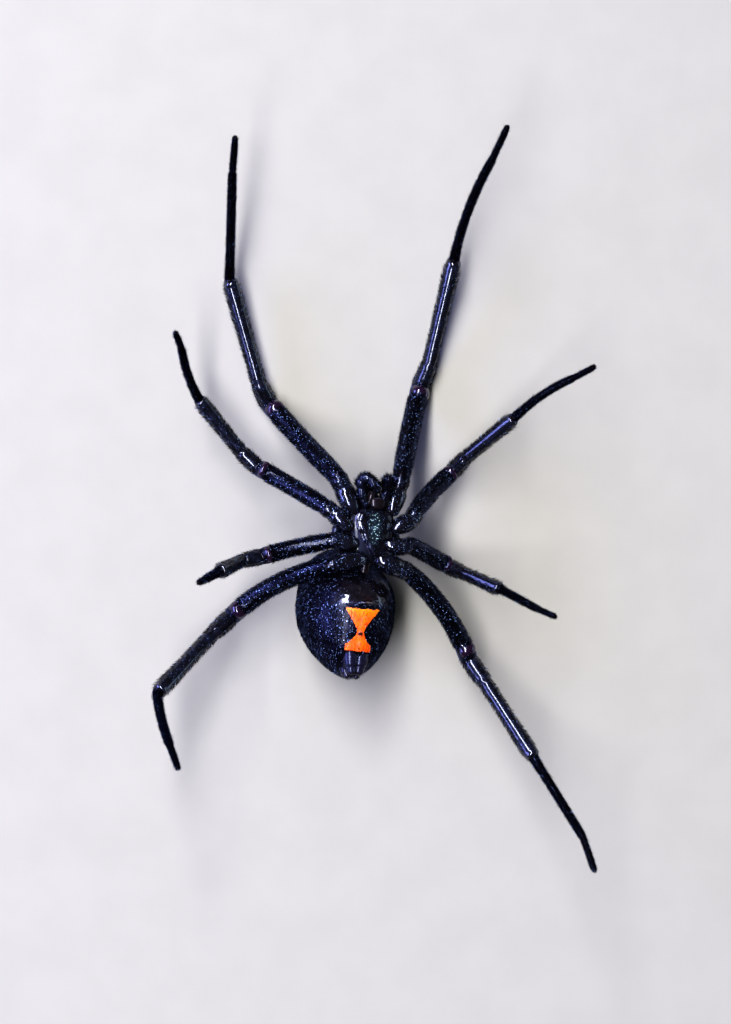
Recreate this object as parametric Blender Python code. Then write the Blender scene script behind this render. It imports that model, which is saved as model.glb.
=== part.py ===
"""Black widow spider at life size, lying on its back with its legs as it hangs.

The belly faces +Z, the head points along +Y and the spider's left side is on +X.
It rests on the floor, z = 0, on a flat on the back of the abdomen and on its two
front knees. Lengths are in metres: MM turns a size read in millimetres into metres.
"""

import math

import bmesh
import bpy
from mathutils import Matrix, Vector

MM = 0.001
GAP = 0.3 * MM
MERGE = 0.002 * MM
SHARP_ANGLE = 50.0
TUBE_ROUNDNESS = 3
FINE_TUBE_ROUNDNESS = 2
AXIS_Y = Vector((0.0, 1.0, 0.0))
AXIS_Z = Vector((0.0, 0.0, 1.0))

# The body frame: its origin is in the middle of the sternum, level with the hips.
BODY_AT = Vector((0.15, -1.14, 4.9)) * MM
BODY_ROLL = 9.0
BODY_TURN = -2.0

# Cephalothorax: a domed carapace below the legs and a shield-shaped sternum above it.
CARAPACE_BACK = -1.30 * MM
CARAPACE_FRONT = 2.55 * MM
CARAPACE_WIDEST = -0.05 * MM
CARAPACE_FRONT_BLUNTNESS = 3.4
CARAPACE_BACK_BLUNTNESS = 2.2
CARAPACE_SECTORS = 26
CARAPACE_RINGS = 18
THORAX_HALF_WIDTH = 1.90 * MM
HEAD_HALF_WIDTH = 0.86 * MM
CARAPACE_RIM = -0.85 * MM
THORAX_DEPTH = 0.88 * MM
HEAD_DEPTH = 1.18 * MM
HEAD_NARROWS = (0.05, 0.62)
HEAD_DEEPENS = (-0.10, 0.50)
FOVEA_DEPTH = 0.16 * MM
FOVEA_HALF_WIDTH = 0.30 * MM
FOVEA_REACH = 0.28
STERNUM_TOP = 0.42 * MM
STERNUM_CROWN = 0.10 * MM
STERNUM_LENGTH = 2.5 * MM
STERNUM_HALF_WIDTH = 1.06 * MM
STERNUM_FRONT_HALF_WIDTH = 0.86 * MM
STERNUM_FRONT = 1.22 * MM
STERNUM_ROOT = 0.3 * MM
STERNUM_EDGE = 0.16 * MM
STERNUM_CORNER = 0.06
STERNUM_WIDEST = 0.22
STERNUM_TAPER = 1.35
STERNUM_STEPS = 12
LABIUM_HALF_WIDTH = 0.27 * MM
LABIUM_LENGTH = 0.42 * MM
LABIUM_DEPTH = 0.40 * MM
LABIUM_AT = Vector((0.0, 1.24, 0.02)) * MM

# Eight eyes in two rows across the front of the head.
EYE_RADIUS = 0.11 * MM
EYE_CLEARANCE = 0.03 * MM
EYE_SECTORS = 8
EYE_RINGS = 6
HEAD_SEARCH_FROM = 0.4
HEAD_SEARCH_STEPS = 240
EYE_ROWS = {
    "front": {"side": (0.13, 0.40), "height": -1.20, "lateral_drop": 0.03},
    "back": {"side": (0.14, 0.44), "height": -1.50, "lateral_drop": 0.10},
}

# Abdomen: a globe with a pointed rear, its long axis tilted and turned from the body's.
ABDOMEN_AT = Vector((-0.91, -5.20, 2.94)) * MM
ABDOMEN_TURN = -5.0
ABDOMEN_ROLL = 13.0
ABDOMEN_FRONT = 3.15 * MM
ABDOMEN_REAR = 3.85 * MM
ABDOMEN_HALF_WIDTH = 2.63 * MM
ABDOMEN_BELLY = 2.95 * MM
ABDOMEN_BACK = 3.05 * MM
ABDOMEN_SECTORS = 30
ABDOMEN_RINGS = 24
ABDOMEN_FRONT_BLUNTNESS = 2.25
ABDOMEN_REAR_BLUNTNESS = 2.1
ABDOMEN_REAR_POINT = 0.68
ABDOMEN_BREAST_POINT = 0.75
ABDOMEN_FRONT_DROP = 1.15 * MM
ABDOMEN_REAR_LIFT = 1.15 * MM
FURROW_PLACE = 0.02 * MM
FURROW_DEPTH = 0.10 * MM
FURROW_WIDTH = 0.16 * MM
FURROW_HALF_SPAN = 1.0 * MM

# Pedicel, the thin waist between the two halves of the body.
PEDICEL_RADIUS = 0.34 * MM
PEDICEL_WAIST = 0.85
PEDICEL_GAP = 0.27 * MM
PEDICEL_FROM = Vector((0.0, -0.80, -0.48)) * MM
PEDICEL_TO = Vector((0.30, 1.20, 1.20)) * MM

# Spinnerets: four cones on a low round base, on the belly side of the pointed rear.
SPINNERET_TOWARDS = Vector((-0.10, -3.20, 2.20)) * MM
SPINNERET_LEAN = 58.0
SPINNERET_RADIUS = 0.20 * MM
SPINNERET_LENGTH = 0.52 * MM
SPINNERET_SPREAD = 0.22 * MM
SPINNERET_BASE_RADIUS = 0.50 * MM
SPINNERET_BASE_HEIGHT = 0.24 * MM
SPINNERET_BASE_TAPER = 0.85
SPINNERET_COUNT = 4
SPINNERET_CLOSING = 0.12
SPINNERET_PROFILE = ((0.0, 1.0), (0.6, 0.85), (1.0, 0.4))

# Each leg segment's length in mm from hip to tip, one row for each pair of legs.
SEGMENTS = ("coxa", "trochanter", "femur", "patella", "tibia", "metatarsus", "tarsus")
SEGMENT_LENGTHS = {
    1: (1.25, 0.68, 6.90, 1.36, 5.98, 7.08, 2.35),
    2: (1.08, 0.56, 4.55, 1.20, 3.75, 4.50, 1.60),
    3: (0.82, 0.44, 3.90, 1.00, 2.70, 3.30, 1.35),
    4: (1.20, 0.62, 6.42, 1.50, 5.02, 6.10, 2.15),
}
LEG_THICKNESS = {1: 1.0, 2: 0.90, 3: 0.86, 4: 0.97}

# How thick each segment is: radius in mm at shares of the segment's length.
SEGMENT_RADII = {
    "coxa": ((0.0, 0.34), (0.30, 0.44), (0.70, 0.47), (0.95, 0.42)),
    "trochanter": ((0.35, 0.42), (0.80, 0.41)),
    "femur": ((0.05, 0.40), (0.15, 0.45), (0.40, 0.47), (0.65, 0.47), (0.84, 0.49), (0.95, 0.52)),
    "patella": ((0.15, 0.47), (0.50, 0.43), (0.88, 0.42)),
    "tibia": ((0.06, 0.34), (0.16, 0.34), (0.45, 0.36), (0.75, 0.40), (0.92, 0.44)),
    "metatarsus": ((0.03, 0.28), (0.10, 0.25), (0.40, 0.25), (0.70, 0.25), (0.96, 0.24)),
    "tarsus": ((0.08, 0.21), (0.40, 0.20), (0.75, 0.19), (0.94, 0.16), (1.0, 0.09)),
}

# Where each hip sits in the body frame, for the spider's left side, in mm.
HIP_SEATS = {1: (1.12, 1.28), 2: (1.38, 0.33), 3: (1.02, -0.59), 4: (0.56, -1.42)}

# Heading (from +X towards +Y) and rise of each segment in degrees, hip to tip.
# A rise of FLOOR slopes the femur down until its knee rests on the floor.
FLOOR = None
KNEE_REST = 0.34 * MM
LEG_POSE = {
    ("right", 1): ((114, -6), (120, 13), (126, FLOOR), (121, 26), (107, 6), (96, 39), (93, 40)),
    ("right", 2): ((136, -8), (144, -8), (147, -31), (137, -4), (130, 6), (119, 48), (124, 53)),
    ("right", 3): ((170, 5), (180, 1), (193, -9), (191, 9), (199, 50), (196, 68), (198, 63)),
    ("right", 4): ((187, 8), (199, 8), (210, -28), (219, 25), (223, 24), (266, 66), (279, 56)),
    ("left", 1): ((72, -12), (74, 15), (69, FLOOR), (72, 23), (79, 13), (78, 42), (74, 43)),
    ("left", 2): ((25, -12), (61, -15), (39, -42), (53, 39), (43, 30), (39, 42), (33, 49)),
    ("left", 3): ((-12, -12), (23, -15), (-24, -41), (-28, 51), (-27, 39), (-36, 59), (-28, 47)),
    ("left", 4): ((-23, -12), (-22, -15), (-52, -17), (-57, 19), (-60, 19), (-67, 44), (-78, 33)),
}
# How far each femur's middle bows: down towards the back, and outwards, in mm.
FEMUR_BOW_DOWN = 0.22
FEMUR_BOW_OUT = {1: 0.0, 2: 0.05, 3: 0.05, 4: 0.42}
# How far the middle of a metatarsus bows outwards in mm, on the legs where it shows.
METATARSUS_BOW = {("left", 1): 0.24, ("left", 2): 0.18, ("right", 2): -0.13, ("right", 4): 0.10}

# Palps: points along each one in the body frame, with the radius there, in mm.
PALP_PATHS = {
    "right": (
        ((-0.38, 1.46, 0.16), 0.18),
        ((-0.52, 1.60, 0.24), 0.22),
        ((-0.70, 1.94, 0.32), 0.23),
        ((-0.79, 2.38, 0.40), 0.24),
        ((-0.88, 2.72, 0.47), 0.25),
        ((-0.76, 2.94, 0.64), 0.26),
        ((-0.50, 2.92, 0.80), 0.25),
        ((-0.26, 2.62, 0.94), 0.24),
        ((-0.08, 2.34, 0.95), 0.20),
        ((0.02, 2.18, 0.93), 0.11),
    ),
    "left": (
        ((0.40, 1.46, 0.16), 0.18),
        ((0.50, 1.66, 0.20), 0.22),
        ((0.58, 2.02, 0.24), 0.23),
        ((0.66, 2.38, 0.32), 0.24),
        ((0.60, 2.68, 0.62), 0.25),
        ((0.46, 2.84, 1.00), 0.26),
        ((0.37, 2.92, 1.32), 0.24),
        ((0.33, 2.96, 1.54), 0.20),
        ((0.31, 2.98, 1.68), 0.11),
    ),
}
PALP_STEPS = 2
ENDITE_LENGTH = 0.60 * MM
ENDITE_HALF_WIDTH = 0.17 * MM
ENDITE_HALF_DEPTH = 0.26 * MM
ENDITE_AT = Vector((0.33, 1.98, 0.24)) * MM
ENDITE_TURN = 24.0

# Chelicerae, the two jaws under the front of the head, each with its fang.
CHELICERA_RADIUS = 0.26 * MM
CHELICERA_LENGTH = 0.90 * MM
CHELICERA_AT = Vector((0.33, 2.58, -0.68)) * MM
CHELICERA_LEAN = Vector((-0.04, 0.06, 0.0)) * MM
CHELICERA_PROFILE = ((0.0, 0.85), (0.25, 1.0), (0.6, 0.92), (0.9, 0.66), (1.0, 0.4))
FANG_ROOT = 0.12 * MM
FANG_RADIUS = 0.09 * MM
FANG_PROFILE = (((0.0, 0.0, 0.0), 1.0), ((-0.04, -0.10, 0.14), 0.8), ((-0.10, -0.22, 0.16), 0.35))

# Each look's colour, roughness and metallic value.
MATERIALS = {
    "black_cuticle": ((0.006, 0.005, 0.010), 0.22, 0.0),
    "leg_cuticle": ((0.007, 0.006, 0.012), 0.28, 0.0),
    "eye_lens": ((0.02, 0.02, 0.025), 0.08, 0.0),
    "jaw_brown": ((0.05, 0.022, 0.014), 0.30, 0.0),
}


def clear_scene():
    for thing in list(bpy.data.objects):
        bpy.data.objects.remove(thing, do_unlink=True)


def make_collection(name):
    collection = bpy.data.collections.new(name)
    bpy.context.scene.collection.children.link(collection)
    return collection


def make_material(node_name, look):
    """One Principled material for one node."""
    colour, roughness, metallic = MATERIALS[look]
    material = bpy.data.materials.new(node_name + "_" + look)
    material.use_nodes = True
    shader = material.node_tree.nodes["Principled BSDF"]
    shader.inputs["Base Color"].default_value = (*colour, 1.0)
    shader.inputs["Roughness"].default_value = roughness
    shader.inputs["Metallic"].default_value = metallic
    material.diffuse_color = (*colour, 1.0)
    return material


def frame_matrix(place, turn, roll):
    """A frame at a place, rolled about its own Y and then turned about Z."""
    rolled = Matrix.Rotation(math.radians(roll), 4, "Y")
    turned = Matrix.Rotation(math.radians(turn), 4, "Z")
    return Matrix.Translation(place) @ turned @ rolled


def direction(heading, rise):
    """Unit vector for a heading and a rise in degrees."""
    level = math.cos(math.radians(rise))
    angle = math.radians(heading)
    return Vector((level * math.cos(angle), level * math.sin(angle), math.sin(math.radians(rise))))


def smooth_step(low, high, value):
    share = min(max((value - low) / (high - low), 0.0), 1.0)
    return share * share * (3.0 - 2.0 * share)


def new_node(name, mesh, look, matrix, collection):
    """An object for one sub-part, placed by its matrix and smooth shaded."""
    node = bpy.data.objects.new(name, mesh)
    collection.objects.link(node)
    node.matrix_world = matrix
    mesh.materials.clear()
    mesh.materials.append(make_material(name, look))
    mesh.shade_smooth()
    mesh.set_sharp_from_angle(angle=math.radians(SHARP_ANGLE))
    return node


def helper(name, mesh, matrix, collection):
    """An object that only serves a Boolean."""
    thing = bpy.data.objects.new(name, mesh)
    collection.objects.link(thing)
    thing.matrix_world = matrix
    thing.hide_render = True
    thing.display_type = "WIRE"
    return thing


def mesh_from(bm, name):
    mesh = bpy.data.meshes.new(name)
    bmesh.ops.recalc_face_normals(bm, faces=bm.faces[:])
    bm.to_mesh(mesh)
    bm.free()
    return mesh


def tube_mesh(name, points, radii, sides_resolution):
    """A closed tube through points in metres, each with its own radius."""
    curve = bpy.data.curves.new(name, "CURVE")
    curve.dimensions = "3D"
    curve.twist_mode = "MINIMUM"
    curve.bevel_depth = MM
    curve.bevel_resolution = sides_resolution
    curve.use_fill_caps = True
    spline = curve.splines.new("POLY")
    spline.points.add(len(points) - 1)
    for knot, place, radius in zip(spline.points, points, radii):
        knot.co = (*place, 1.0)
        knot.radius = radius / MM
    holder = bpy.data.objects.new(name, curve)
    bpy.context.scene.collection.objects.link(holder)
    graph = bpy.context.evaluated_depsgraph_get()
    mesh = bpy.data.meshes.new_from_object(holder.evaluated_get(graph))
    bpy.data.objects.remove(holder, do_unlink=True)
    bpy.data.curves.remove(curve)
    bm = bmesh.new()
    bm.from_mesh(mesh)
    bpy.data.meshes.remove(mesh)
    bmesh.ops.remove_doubles(bm, verts=bm.verts[:], dist=MERGE)
    return mesh_from(bm, name)


def smooth_path(knots, steps):
    """Points and radii on a smooth curve through (place, radius) knots in metres."""
    places = [Vector(place) for place, _ in knots]
    radii = [radius for _, radius in knots]
    points = []
    widths = []
    last = len(knots) - 1
    for index in range(last):
        before = places[max(index - 1, 0)]
        start, end = places[index], places[index + 1]
        after = places[min(index + 2, last)]
        for step in range(steps):
            share = step / steps
            points.append(spline_point(before, start, end, after, share))
            widths.append(radii[index] + (radii[index + 1] - radii[index]) * share)
    return points + [places[-1]], widths + [radii[-1]]


def spline_point(before, start, end, after, share):
    """A point on the curve that passes evenly through four others."""
    square, cube = share * share, share * share * share
    return 0.5 * (
        2.0 * start
        + (end - before) * share
        + (2.0 * before - 5.0 * start + 4.0 * end - after) * square
        + (3.0 * start - before - 3.0 * end + after) * cube
    )


def keep_largest(bm):
    """Removes every closed surface but the one with the most faces."""
    left = set(bm.faces)
    islands = []
    while left:
        island = [left.pop()]
        for face in island:
            for edge in face.edges:
                for other in edge.link_faces:
                    if other in left:
                        left.remove(other)
                        island.append(other)
        islands.append(island)
    islands.sort(key=len)
    for island in islands[:-1]:
        corners = {corner for face in island for corner in face.verts}
        bmesh.ops.delete(bm, geom=list(corners), context="VERTS")


def combine(node, pieces, operation, cutters):
    """Joins meshes to a node, or cuts them from it, with one applied Boolean."""
    group = bpy.data.collections.new(node.name + "_" + operation.lower())
    cutters.children.link(group)
    for number, mesh in enumerate(pieces):
        helper(node.name + "_piece_" + str(number), mesh, node.matrix_world, group)
    modifier = node.modifiers.new("combine", "BOOLEAN")
    modifier.operation = operation
    modifier.operand_type = "COLLECTION"
    modifier.collection = group
    modifier.solver = "EXACT"
    bpy.context.view_layer.update()
    graph = bpy.context.evaluated_depsgraph_get()
    made = bpy.data.meshes.new_from_object(node.evaluated_get(graph))
    node.modifiers.clear()
    for thing in list(group.objects):
        bpy.data.objects.remove(thing, do_unlink=True)
    bpy.data.collections.remove(group)
    bm = bmesh.new()
    bm.from_mesh(made)
    bpy.data.meshes.remove(made)
    bmesh.ops.remove_doubles(bm, verts=bm.verts[:], dist=MERGE)
    bmesh.ops.dissolve_degenerate(bm, edges=bm.edges[:], dist=MERGE)
    keep_largest(bm)
    bm.to_mesh(node.data)
    bm.free()


def flatten_side(mesh, place, outward):
    """Cuts a closed mesh with a plane, drops what is outside and closes the cut."""
    bm = bmesh.new()
    bm.from_mesh(mesh)
    everything = bm.verts[:] + bm.edges[:] + bm.faces[:]
    bmesh.ops.bisect_plane(
        bm, geom=everything, dist=MERGE, plane_co=place, plane_no=outward, clear_outer=True
    )
    rim = [edge for edge in bm.edges if edge.is_boundary]
    if rim:
        bmesh.ops.holes_fill(bm, edges=rim)
    bmesh.ops.recalc_face_normals(bm, faces=bm.faces[:])
    bm.to_mesh(mesh)
    bm.free()


def rest_on_floor(node):
    """Gives the node a small flat where it reaches the floor."""
    to_node = node.matrix_world.inverted()
    flatten_side(node.data, to_node @ Vector((0.0, 0.0, 0.0)), to_node.to_3x3() @ -AXIS_Z)


def shaped_globe(name, rings, sectors, shape):
    """A sphere with its poles on Y whose points are moved by a shape function."""
    bm = bmesh.new()
    upright = Matrix.Rotation(math.radians(-90.0), 4, "X")
    bmesh.ops.create_uvsphere(bm, u_segments=sectors, v_segments=rings, radius=1.0, matrix=upright)
    for corner in bm.verts:
        along = min(max(corner.co.y, -1.0), 1.0)
        around = math.atan2(corner.co.z, corner.co.x)
        corner.co = shape(along, around)
    bmesh.ops.remove_doubles(bm, verts=bm.verts[:], dist=MERGE)
    return mesh_from(bm, name)


def carapace_point(along, around):
    """Shape of the carapace: broad thorax, narrow raised head, a dimple on its back."""
    if along > 0.0:
        length = CARAPACE_FRONT - CARAPACE_WIDEST
        roundness = math.sqrt(max(1.0 - along ** CARAPACE_FRONT_BLUNTNESS, 0.0))
    else:
        length = CARAPACE_WIDEST - CARAPACE_BACK
        roundness = math.sqrt(max(1.0 - abs(along) ** CARAPACE_BACK_BLUNTNESS, 0.0))
    narrowing = (HEAD_HALF_WIDTH - THORAX_HALF_WIDTH) * smooth_step(*HEAD_NARROWS, along)
    deepening = (HEAD_DEPTH - THORAX_DEPTH) * smooth_step(*HEAD_DEEPENS, along)
    across = (THORAX_HALF_WIDTH + narrowing) * roundness * math.cos(around)
    deep = (THORAX_DEPTH + deepening) * roundness * math.sin(around)
    if math.sin(around) < 0.0:
        away = (across / FOVEA_HALF_WIDTH) ** 2 + (along / FOVEA_REACH) ** 2
        deep += FOVEA_DEPTH * math.exp(-away)
    return Vector((across, CARAPACE_WIDEST + length * along, CARAPACE_RIM + deep))


def abdomen_point(along, around):
    """Shape of the abdomen, from its round front (+1) to its pointed rear (-1)."""
    square = along * along
    if along > 0.0:
        length = ABDOMEN_FRONT
        fullness = math.sqrt(max(1.0 - along ** ABDOMEN_FRONT_BLUNTNESS, 0.0))
        belly_fullness = max(1.0 - square, 0.0) ** ABDOMEN_BREAST_POINT
        centre = -ABDOMEN_FRONT_DROP * square
    else:
        length = ABDOMEN_REAR
        fullness = max(1.0 - abs(along) ** ABDOMEN_REAR_BLUNTNESS, 0.0) ** ABDOMEN_REAR_POINT
        belly_fullness = fullness
        centre = ABDOMEN_REAR_LIFT * square
    across = ABDOMEN_HALF_WIDTH * fullness * math.cos(around)
    place = length * along
    if math.sin(around) > 0.0:
        away = (place - FURROW_PLACE) / FURROW_WIDTH
        side = across / FURROW_HALF_SPAN
        furrow = FURROW_DEPTH * math.exp(-away * away - side ** 4)
        upward = centre + ABDOMEN_BELLY * belly_fullness * math.sin(around) - furrow
    else:
        upward = centre + ABDOMEN_BACK * fullness * math.sin(around)
    return Vector((across, place, upward))


def shield_half_width(share):
    """Half width of the sternum at a share of its length from the front."""
    corner = math.sqrt(min(share / STERNUM_CORNER, 1.0))
    if share < STERNUM_WIDEST:
        swell = STERNUM_HALF_WIDTH - STERNUM_FRONT_HALF_WIDTH
        return corner * (STERNUM_FRONT_HALF_WIDTH + swell * smooth_step(0.0, STERNUM_WIDEST, share))
    rearward = (share - STERNUM_WIDEST) / (1.0 - STERNUM_WIDEST)
    return STERNUM_HALF_WIDTH * (1.0 - rearward ** STERNUM_TAPER)


def sternum_mesh():
    """The shield between the legs: a thick plate with a slightly crowned face."""
    half = []
    for step in range(STERNUM_STEPS + 1):
        share = step / STERNUM_STEPS
        half.append((shield_half_width(share), STERNUM_FRONT - STERNUM_LENGTH * share))
    outline = half + [(-x, y) for x, y in reversed(half[1:-1])]
    root = CARAPACE_RIM - STERNUM_ROOT
    bm = bmesh.new()
    base = [bm.verts.new((x, y, root)) for x, y in outline]
    floor_face = bm.faces.new(base)
    raised = bmesh.ops.extrude_face_region(bm, geom=[floor_face])
    lifted = [item for item in raised["geom"] if isinstance(item, bmesh.types.BMVert)]
    bmesh.ops.translate(bm, verts=lifted, vec=(0.0, 0.0, STERNUM_TOP - root))
    top = [item for item in raised["geom"] if isinstance(item, bmesh.types.BMFace)]
    bmesh.ops.inset_region(bm, faces=top, thickness=STERNUM_EDGE, depth=STERNUM_CROWN)
    bmesh.ops.triangulate(bm, faces=bm.faces[:])
    return mesh_from(bm, "sternum_piece")


def oval_mesh(name, half_sizes, matrix):
    """An ellipsoid with these half sizes, placed by a matrix."""
    bm = bmesh.new()
    bmesh.ops.create_uvsphere(bm, u_segments=10, v_segments=6, radius=1.0)
    size = Matrix.Diagonal((*half_sizes, 1.0))
    bmesh.ops.transform(bm, matrix=matrix @ size, verts=bm.verts[:])
    return mesh_from(bm, name)


def labium_mesh():
    """The small lip in front of the sternum."""
    half_sizes = (LABIUM_HALF_WIDTH, LABIUM_LENGTH, LABIUM_DEPTH)
    return oval_mesh("labium_piece", half_sizes, Matrix.Translation(LABIUM_AT))


def eye_places():
    """The centre of each eye in the body frame, on the front of the head."""
    places = {}
    for row, spec in EYE_ROWS.items():
        for rank, side in zip(("median", "lateral"), spec["side"]):
            for name, sign in (("right", -1.0), ("left", 1.0)):
                drop = spec["lateral_drop"] if rank == "lateral" else 0.0
                height = (spec["height"] + drop) * MM
                across = sign * side * MM
                places["eye_" + row + "_" + rank + "_" + name] = head_front(across, height)
    return places


def head_front(across, height):
    """The point of the head's front surface at a side and a height."""
    best = None
    for step in range(HEAD_SEARCH_STEPS):
        share = step / HEAD_SEARCH_STEPS
        along = HEAD_SEARCH_FROM + (1.0 - HEAD_SEARCH_FROM) * share
        place = carapace_point(along, 0.0).y
        half_width = carapace_point(along, 0.0).x
        depth = CARAPACE_RIM - carapace_point(along, -math.pi / 2.0).z
        if half_width <= 0.0 or depth <= 0.0:
            continue
        inside = (across / half_width) ** 2 + ((height - CARAPACE_RIM) / depth) ** 2
        if inside <= 1.0:
            best = Vector((across, place, height))
    return best


def ball_mesh(name, centre, radius):
    """A ball the size of an eye or of its socket."""
    bm = bmesh.new()
    bmesh.ops.create_uvsphere(
        bm,
        u_segments=EYE_SECTORS,
        v_segments=EYE_RINGS,
        radius=radius,
        matrix=Matrix.Translation(centre),
    )
    return mesh_from(bm, name)


def build_cephalothorax(body, collection, cutters):
    mesh = shaped_globe("cephalothorax", CARAPACE_RINGS, CARAPACE_SECTORS, carapace_point)
    flatten_side(mesh, Vector((0.0, 0.0, CARAPACE_RIM)), AXIS_Z)
    node = new_node("cephalothorax", mesh, "black_cuticle", body, collection)
    combine(node, [sternum_mesh(), labium_mesh()], "UNION", cutters)
    sockets = []
    for name, centre in eye_places().items():
        sockets.append(ball_mesh(name + "_socket", centre, EYE_RADIUS + EYE_CLEARANCE))
    combine(node, sockets, "DIFFERENCE", cutters)
    return node


def build_eyes(body, collection):
    eyes = []
    for name, centre in eye_places().items():
        mesh = ball_mesh(name, centre, EYE_RADIUS)
        eyes.append(new_node(name, mesh, "eye_lens", body, collection))
    return eyes


def build_abdomen(collection):
    frame = frame_matrix(ABDOMEN_AT, ABDOMEN_TURN, ABDOMEN_ROLL)
    mesh = shaped_globe("abdomen", ABDOMEN_RINGS, ABDOMEN_SECTORS, abdomen_point)
    node = new_node("abdomen", mesh, "black_cuticle", frame, collection)
    rest_on_floor(node)
    return node


def surface_hit(node, start, end):
    """Where the straight line from start to end first meets a node's surface."""
    to_node = node.matrix_world.inverted()
    near, far = to_node @ start, to_node @ end
    hit, place, _, _ = node.ray_cast(near, (far - near).normalized())
    if not hit:
        raise ValueError("the line misses " + node.name)
    return node.matrix_world @ place


def build_pedicel(body, cephalothorax, abdomen, collection):
    """The waist, from the rear of the cephalothorax to the front of the abdomen."""
    bpy.context.view_layer.update()
    inside_front = body @ PEDICEL_FROM
    inside_rear = abdomen.matrix_world @ PEDICEL_TO
    along = (inside_rear - inside_front).normalized()
    start = surface_hit(cephalothorax, inside_rear, inside_front) + along * PEDICEL_GAP
    end = surface_hit(abdomen, inside_front, inside_rear) - along * PEDICEL_GAP
    points = [start, start.lerp(end, 0.5), end]
    radii = [PEDICEL_RADIUS, PEDICEL_WAIST * PEDICEL_RADIUS, PEDICEL_RADIUS]
    mesh = tube_mesh("pedicel", points, radii, TUBE_ROUNDNESS)
    return new_node("pedicel", mesh, "jaw_brown", Matrix.Identity(4), collection)


def build_spinnerets(abdomen, collection, cutters):
    """Four cones on a round base, set on the abdomen's surface with a gap."""
    bpy.context.view_layer.update()
    middle = abdomen.matrix_world.translation
    outside = abdomen.matrix_world @ (SPINNERET_TOWARDS * 2.0)
    skin = surface_hit(abdomen, outside, middle)
    upright = abdomen.matrix_world.to_3x3().to_4x4()
    lean = Matrix.Rotation(math.radians(90.0 - SPINNERET_LEAN), 4, "X")
    outward = (outside - middle).normalized()
    frame = Matrix.Translation(skin + outward * GAP) @ upright @ lean
    base_points = [Vector((0.0, 0.0, 0.0)), AXIS_Z * SPINNERET_BASE_HEIGHT]
    base_radii = [SPINNERET_BASE_RADIUS, SPINNERET_BASE_TAPER * SPINNERET_BASE_RADIUS]
    mesh = tube_mesh("spinnerets", base_points, base_radii, TUBE_ROUNDNESS)
    node = new_node("spinnerets", mesh, "black_cuticle", frame, collection)
    cones = []
    for number in range(SPINNERET_COUNT):
        angle = 2.0 * math.pi * (number + 0.5) / SPINNERET_COUNT
        away = Vector((math.cos(angle), math.sin(angle), 0.0))
        foot = away * SPINNERET_SPREAD + AXIS_Z * 0.5 * SPINNERET_BASE_HEIGHT
        tip = foot + (AXIS_Z - away * SPINNERET_CLOSING) * SPINNERET_LENGTH
        points = [foot.lerp(tip, share) for share, _ in SPINNERET_PROFILE]
        radii = [SPINNERET_RADIUS * width for _, width in SPINNERET_PROFILE]
        cones.append(tube_mesh("spinneret_cone", points, radii, FINE_TUBE_ROUNDNESS))
    combine(node, cones, "UNION", cutters)
    return node


def leg_joints(side, pair, body):
    """The joints of one leg in metres, from its hip to its tip."""
    sign = 1.0 if side == "left" else -1.0
    seat_x, seat_y = HIP_SEATS[pair]
    joints = [body @ (Vector((sign * seat_x, seat_y, 0.0)) * MM)]
    for length, (heading, rise) in zip(SEGMENT_LENGTHS[pair], LEG_POSE[side, pair]):
        if rise is FLOOR:
            rise = math.degrees(math.asin((KNEE_REST - joints[-1].z) / (length * MM)))
        joints.append(joints[-1] + direction(heading, rise) * length * MM)
    return joints


def leg_knots(side, pair, joints):
    """Points along a leg, each with its radius, rounded where two segments meet."""
    thickness = LEG_THICKNESS[pair] * MM
    knots = []
    for segment, start, end in zip(SEGMENTS, joints, joints[1:]):
        bow = Vector((0.0, 0.0, 0.0))
        outward = (end - start).cross(AXIS_Z).normalized() * (1.0 if side == "right" else -1.0)
        if segment == "femur":
            bow = (FEMUR_BOW_OUT[pair] * outward - FEMUR_BOW_DOWN * AXIS_Z) * MM
        elif segment == "metatarsus":
            bow = METATARSUS_BOW.get((side, pair), 0.0) * MM * outward
        for share, radius in SEGMENT_RADII[segment]:
            bend = 4.0 * share * (1.0 - share)
            knots.append((start.lerp(end, share) + bow * bend, radius * thickness))
    return knots


def build_leg(side, pair, body, collection):
    joints = leg_joints(side, pair, body)
    knots = leg_knots(side, pair, joints)
    points = [place - joints[0] for place, _ in knots]
    radii = [radius for _, radius in knots]
    name = "leg_" + side + "_" + str(pair)
    mesh = tube_mesh(name, points, radii, TUBE_ROUNDNESS)
    node = new_node(name, mesh, "leg_cuticle", Matrix.Translation(joints[0]), collection)
    if LEG_POSE[side, pair][SEGMENTS.index("femur")][1] is FLOOR:
        rest_on_floor(node)
    return node


def endite_mesh(sign):
    """The flat jaw plate at the root of a palp."""
    place = Matrix.Translation((sign * ENDITE_AT.x, ENDITE_AT.y, ENDITE_AT.z))
    turn = Matrix.Rotation(math.radians(sign * ENDITE_TURN), 4, "Z")
    half_sizes = (ENDITE_HALF_WIDTH, 0.5 * ENDITE_LENGTH, ENDITE_HALF_DEPTH)
    return oval_mesh("endite_piece", half_sizes, place @ turn)


def build_palp(side, body, collection, cutters):
    sign = 1.0 if side == "left" else -1.0
    knots = [(Vector(place) * MM, radius * MM) for place, radius in PALP_PATHS[side]]
    points, radii = smooth_path(knots, PALP_STEPS)
    mesh = tube_mesh("palp_" + side, points, radii, TUBE_ROUNDNESS)
    node = new_node("palp_" + side, mesh, "leg_cuticle", body, collection)
    combine(node, [endite_mesh(sign)], "UNION", cutters)
    return node


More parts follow.
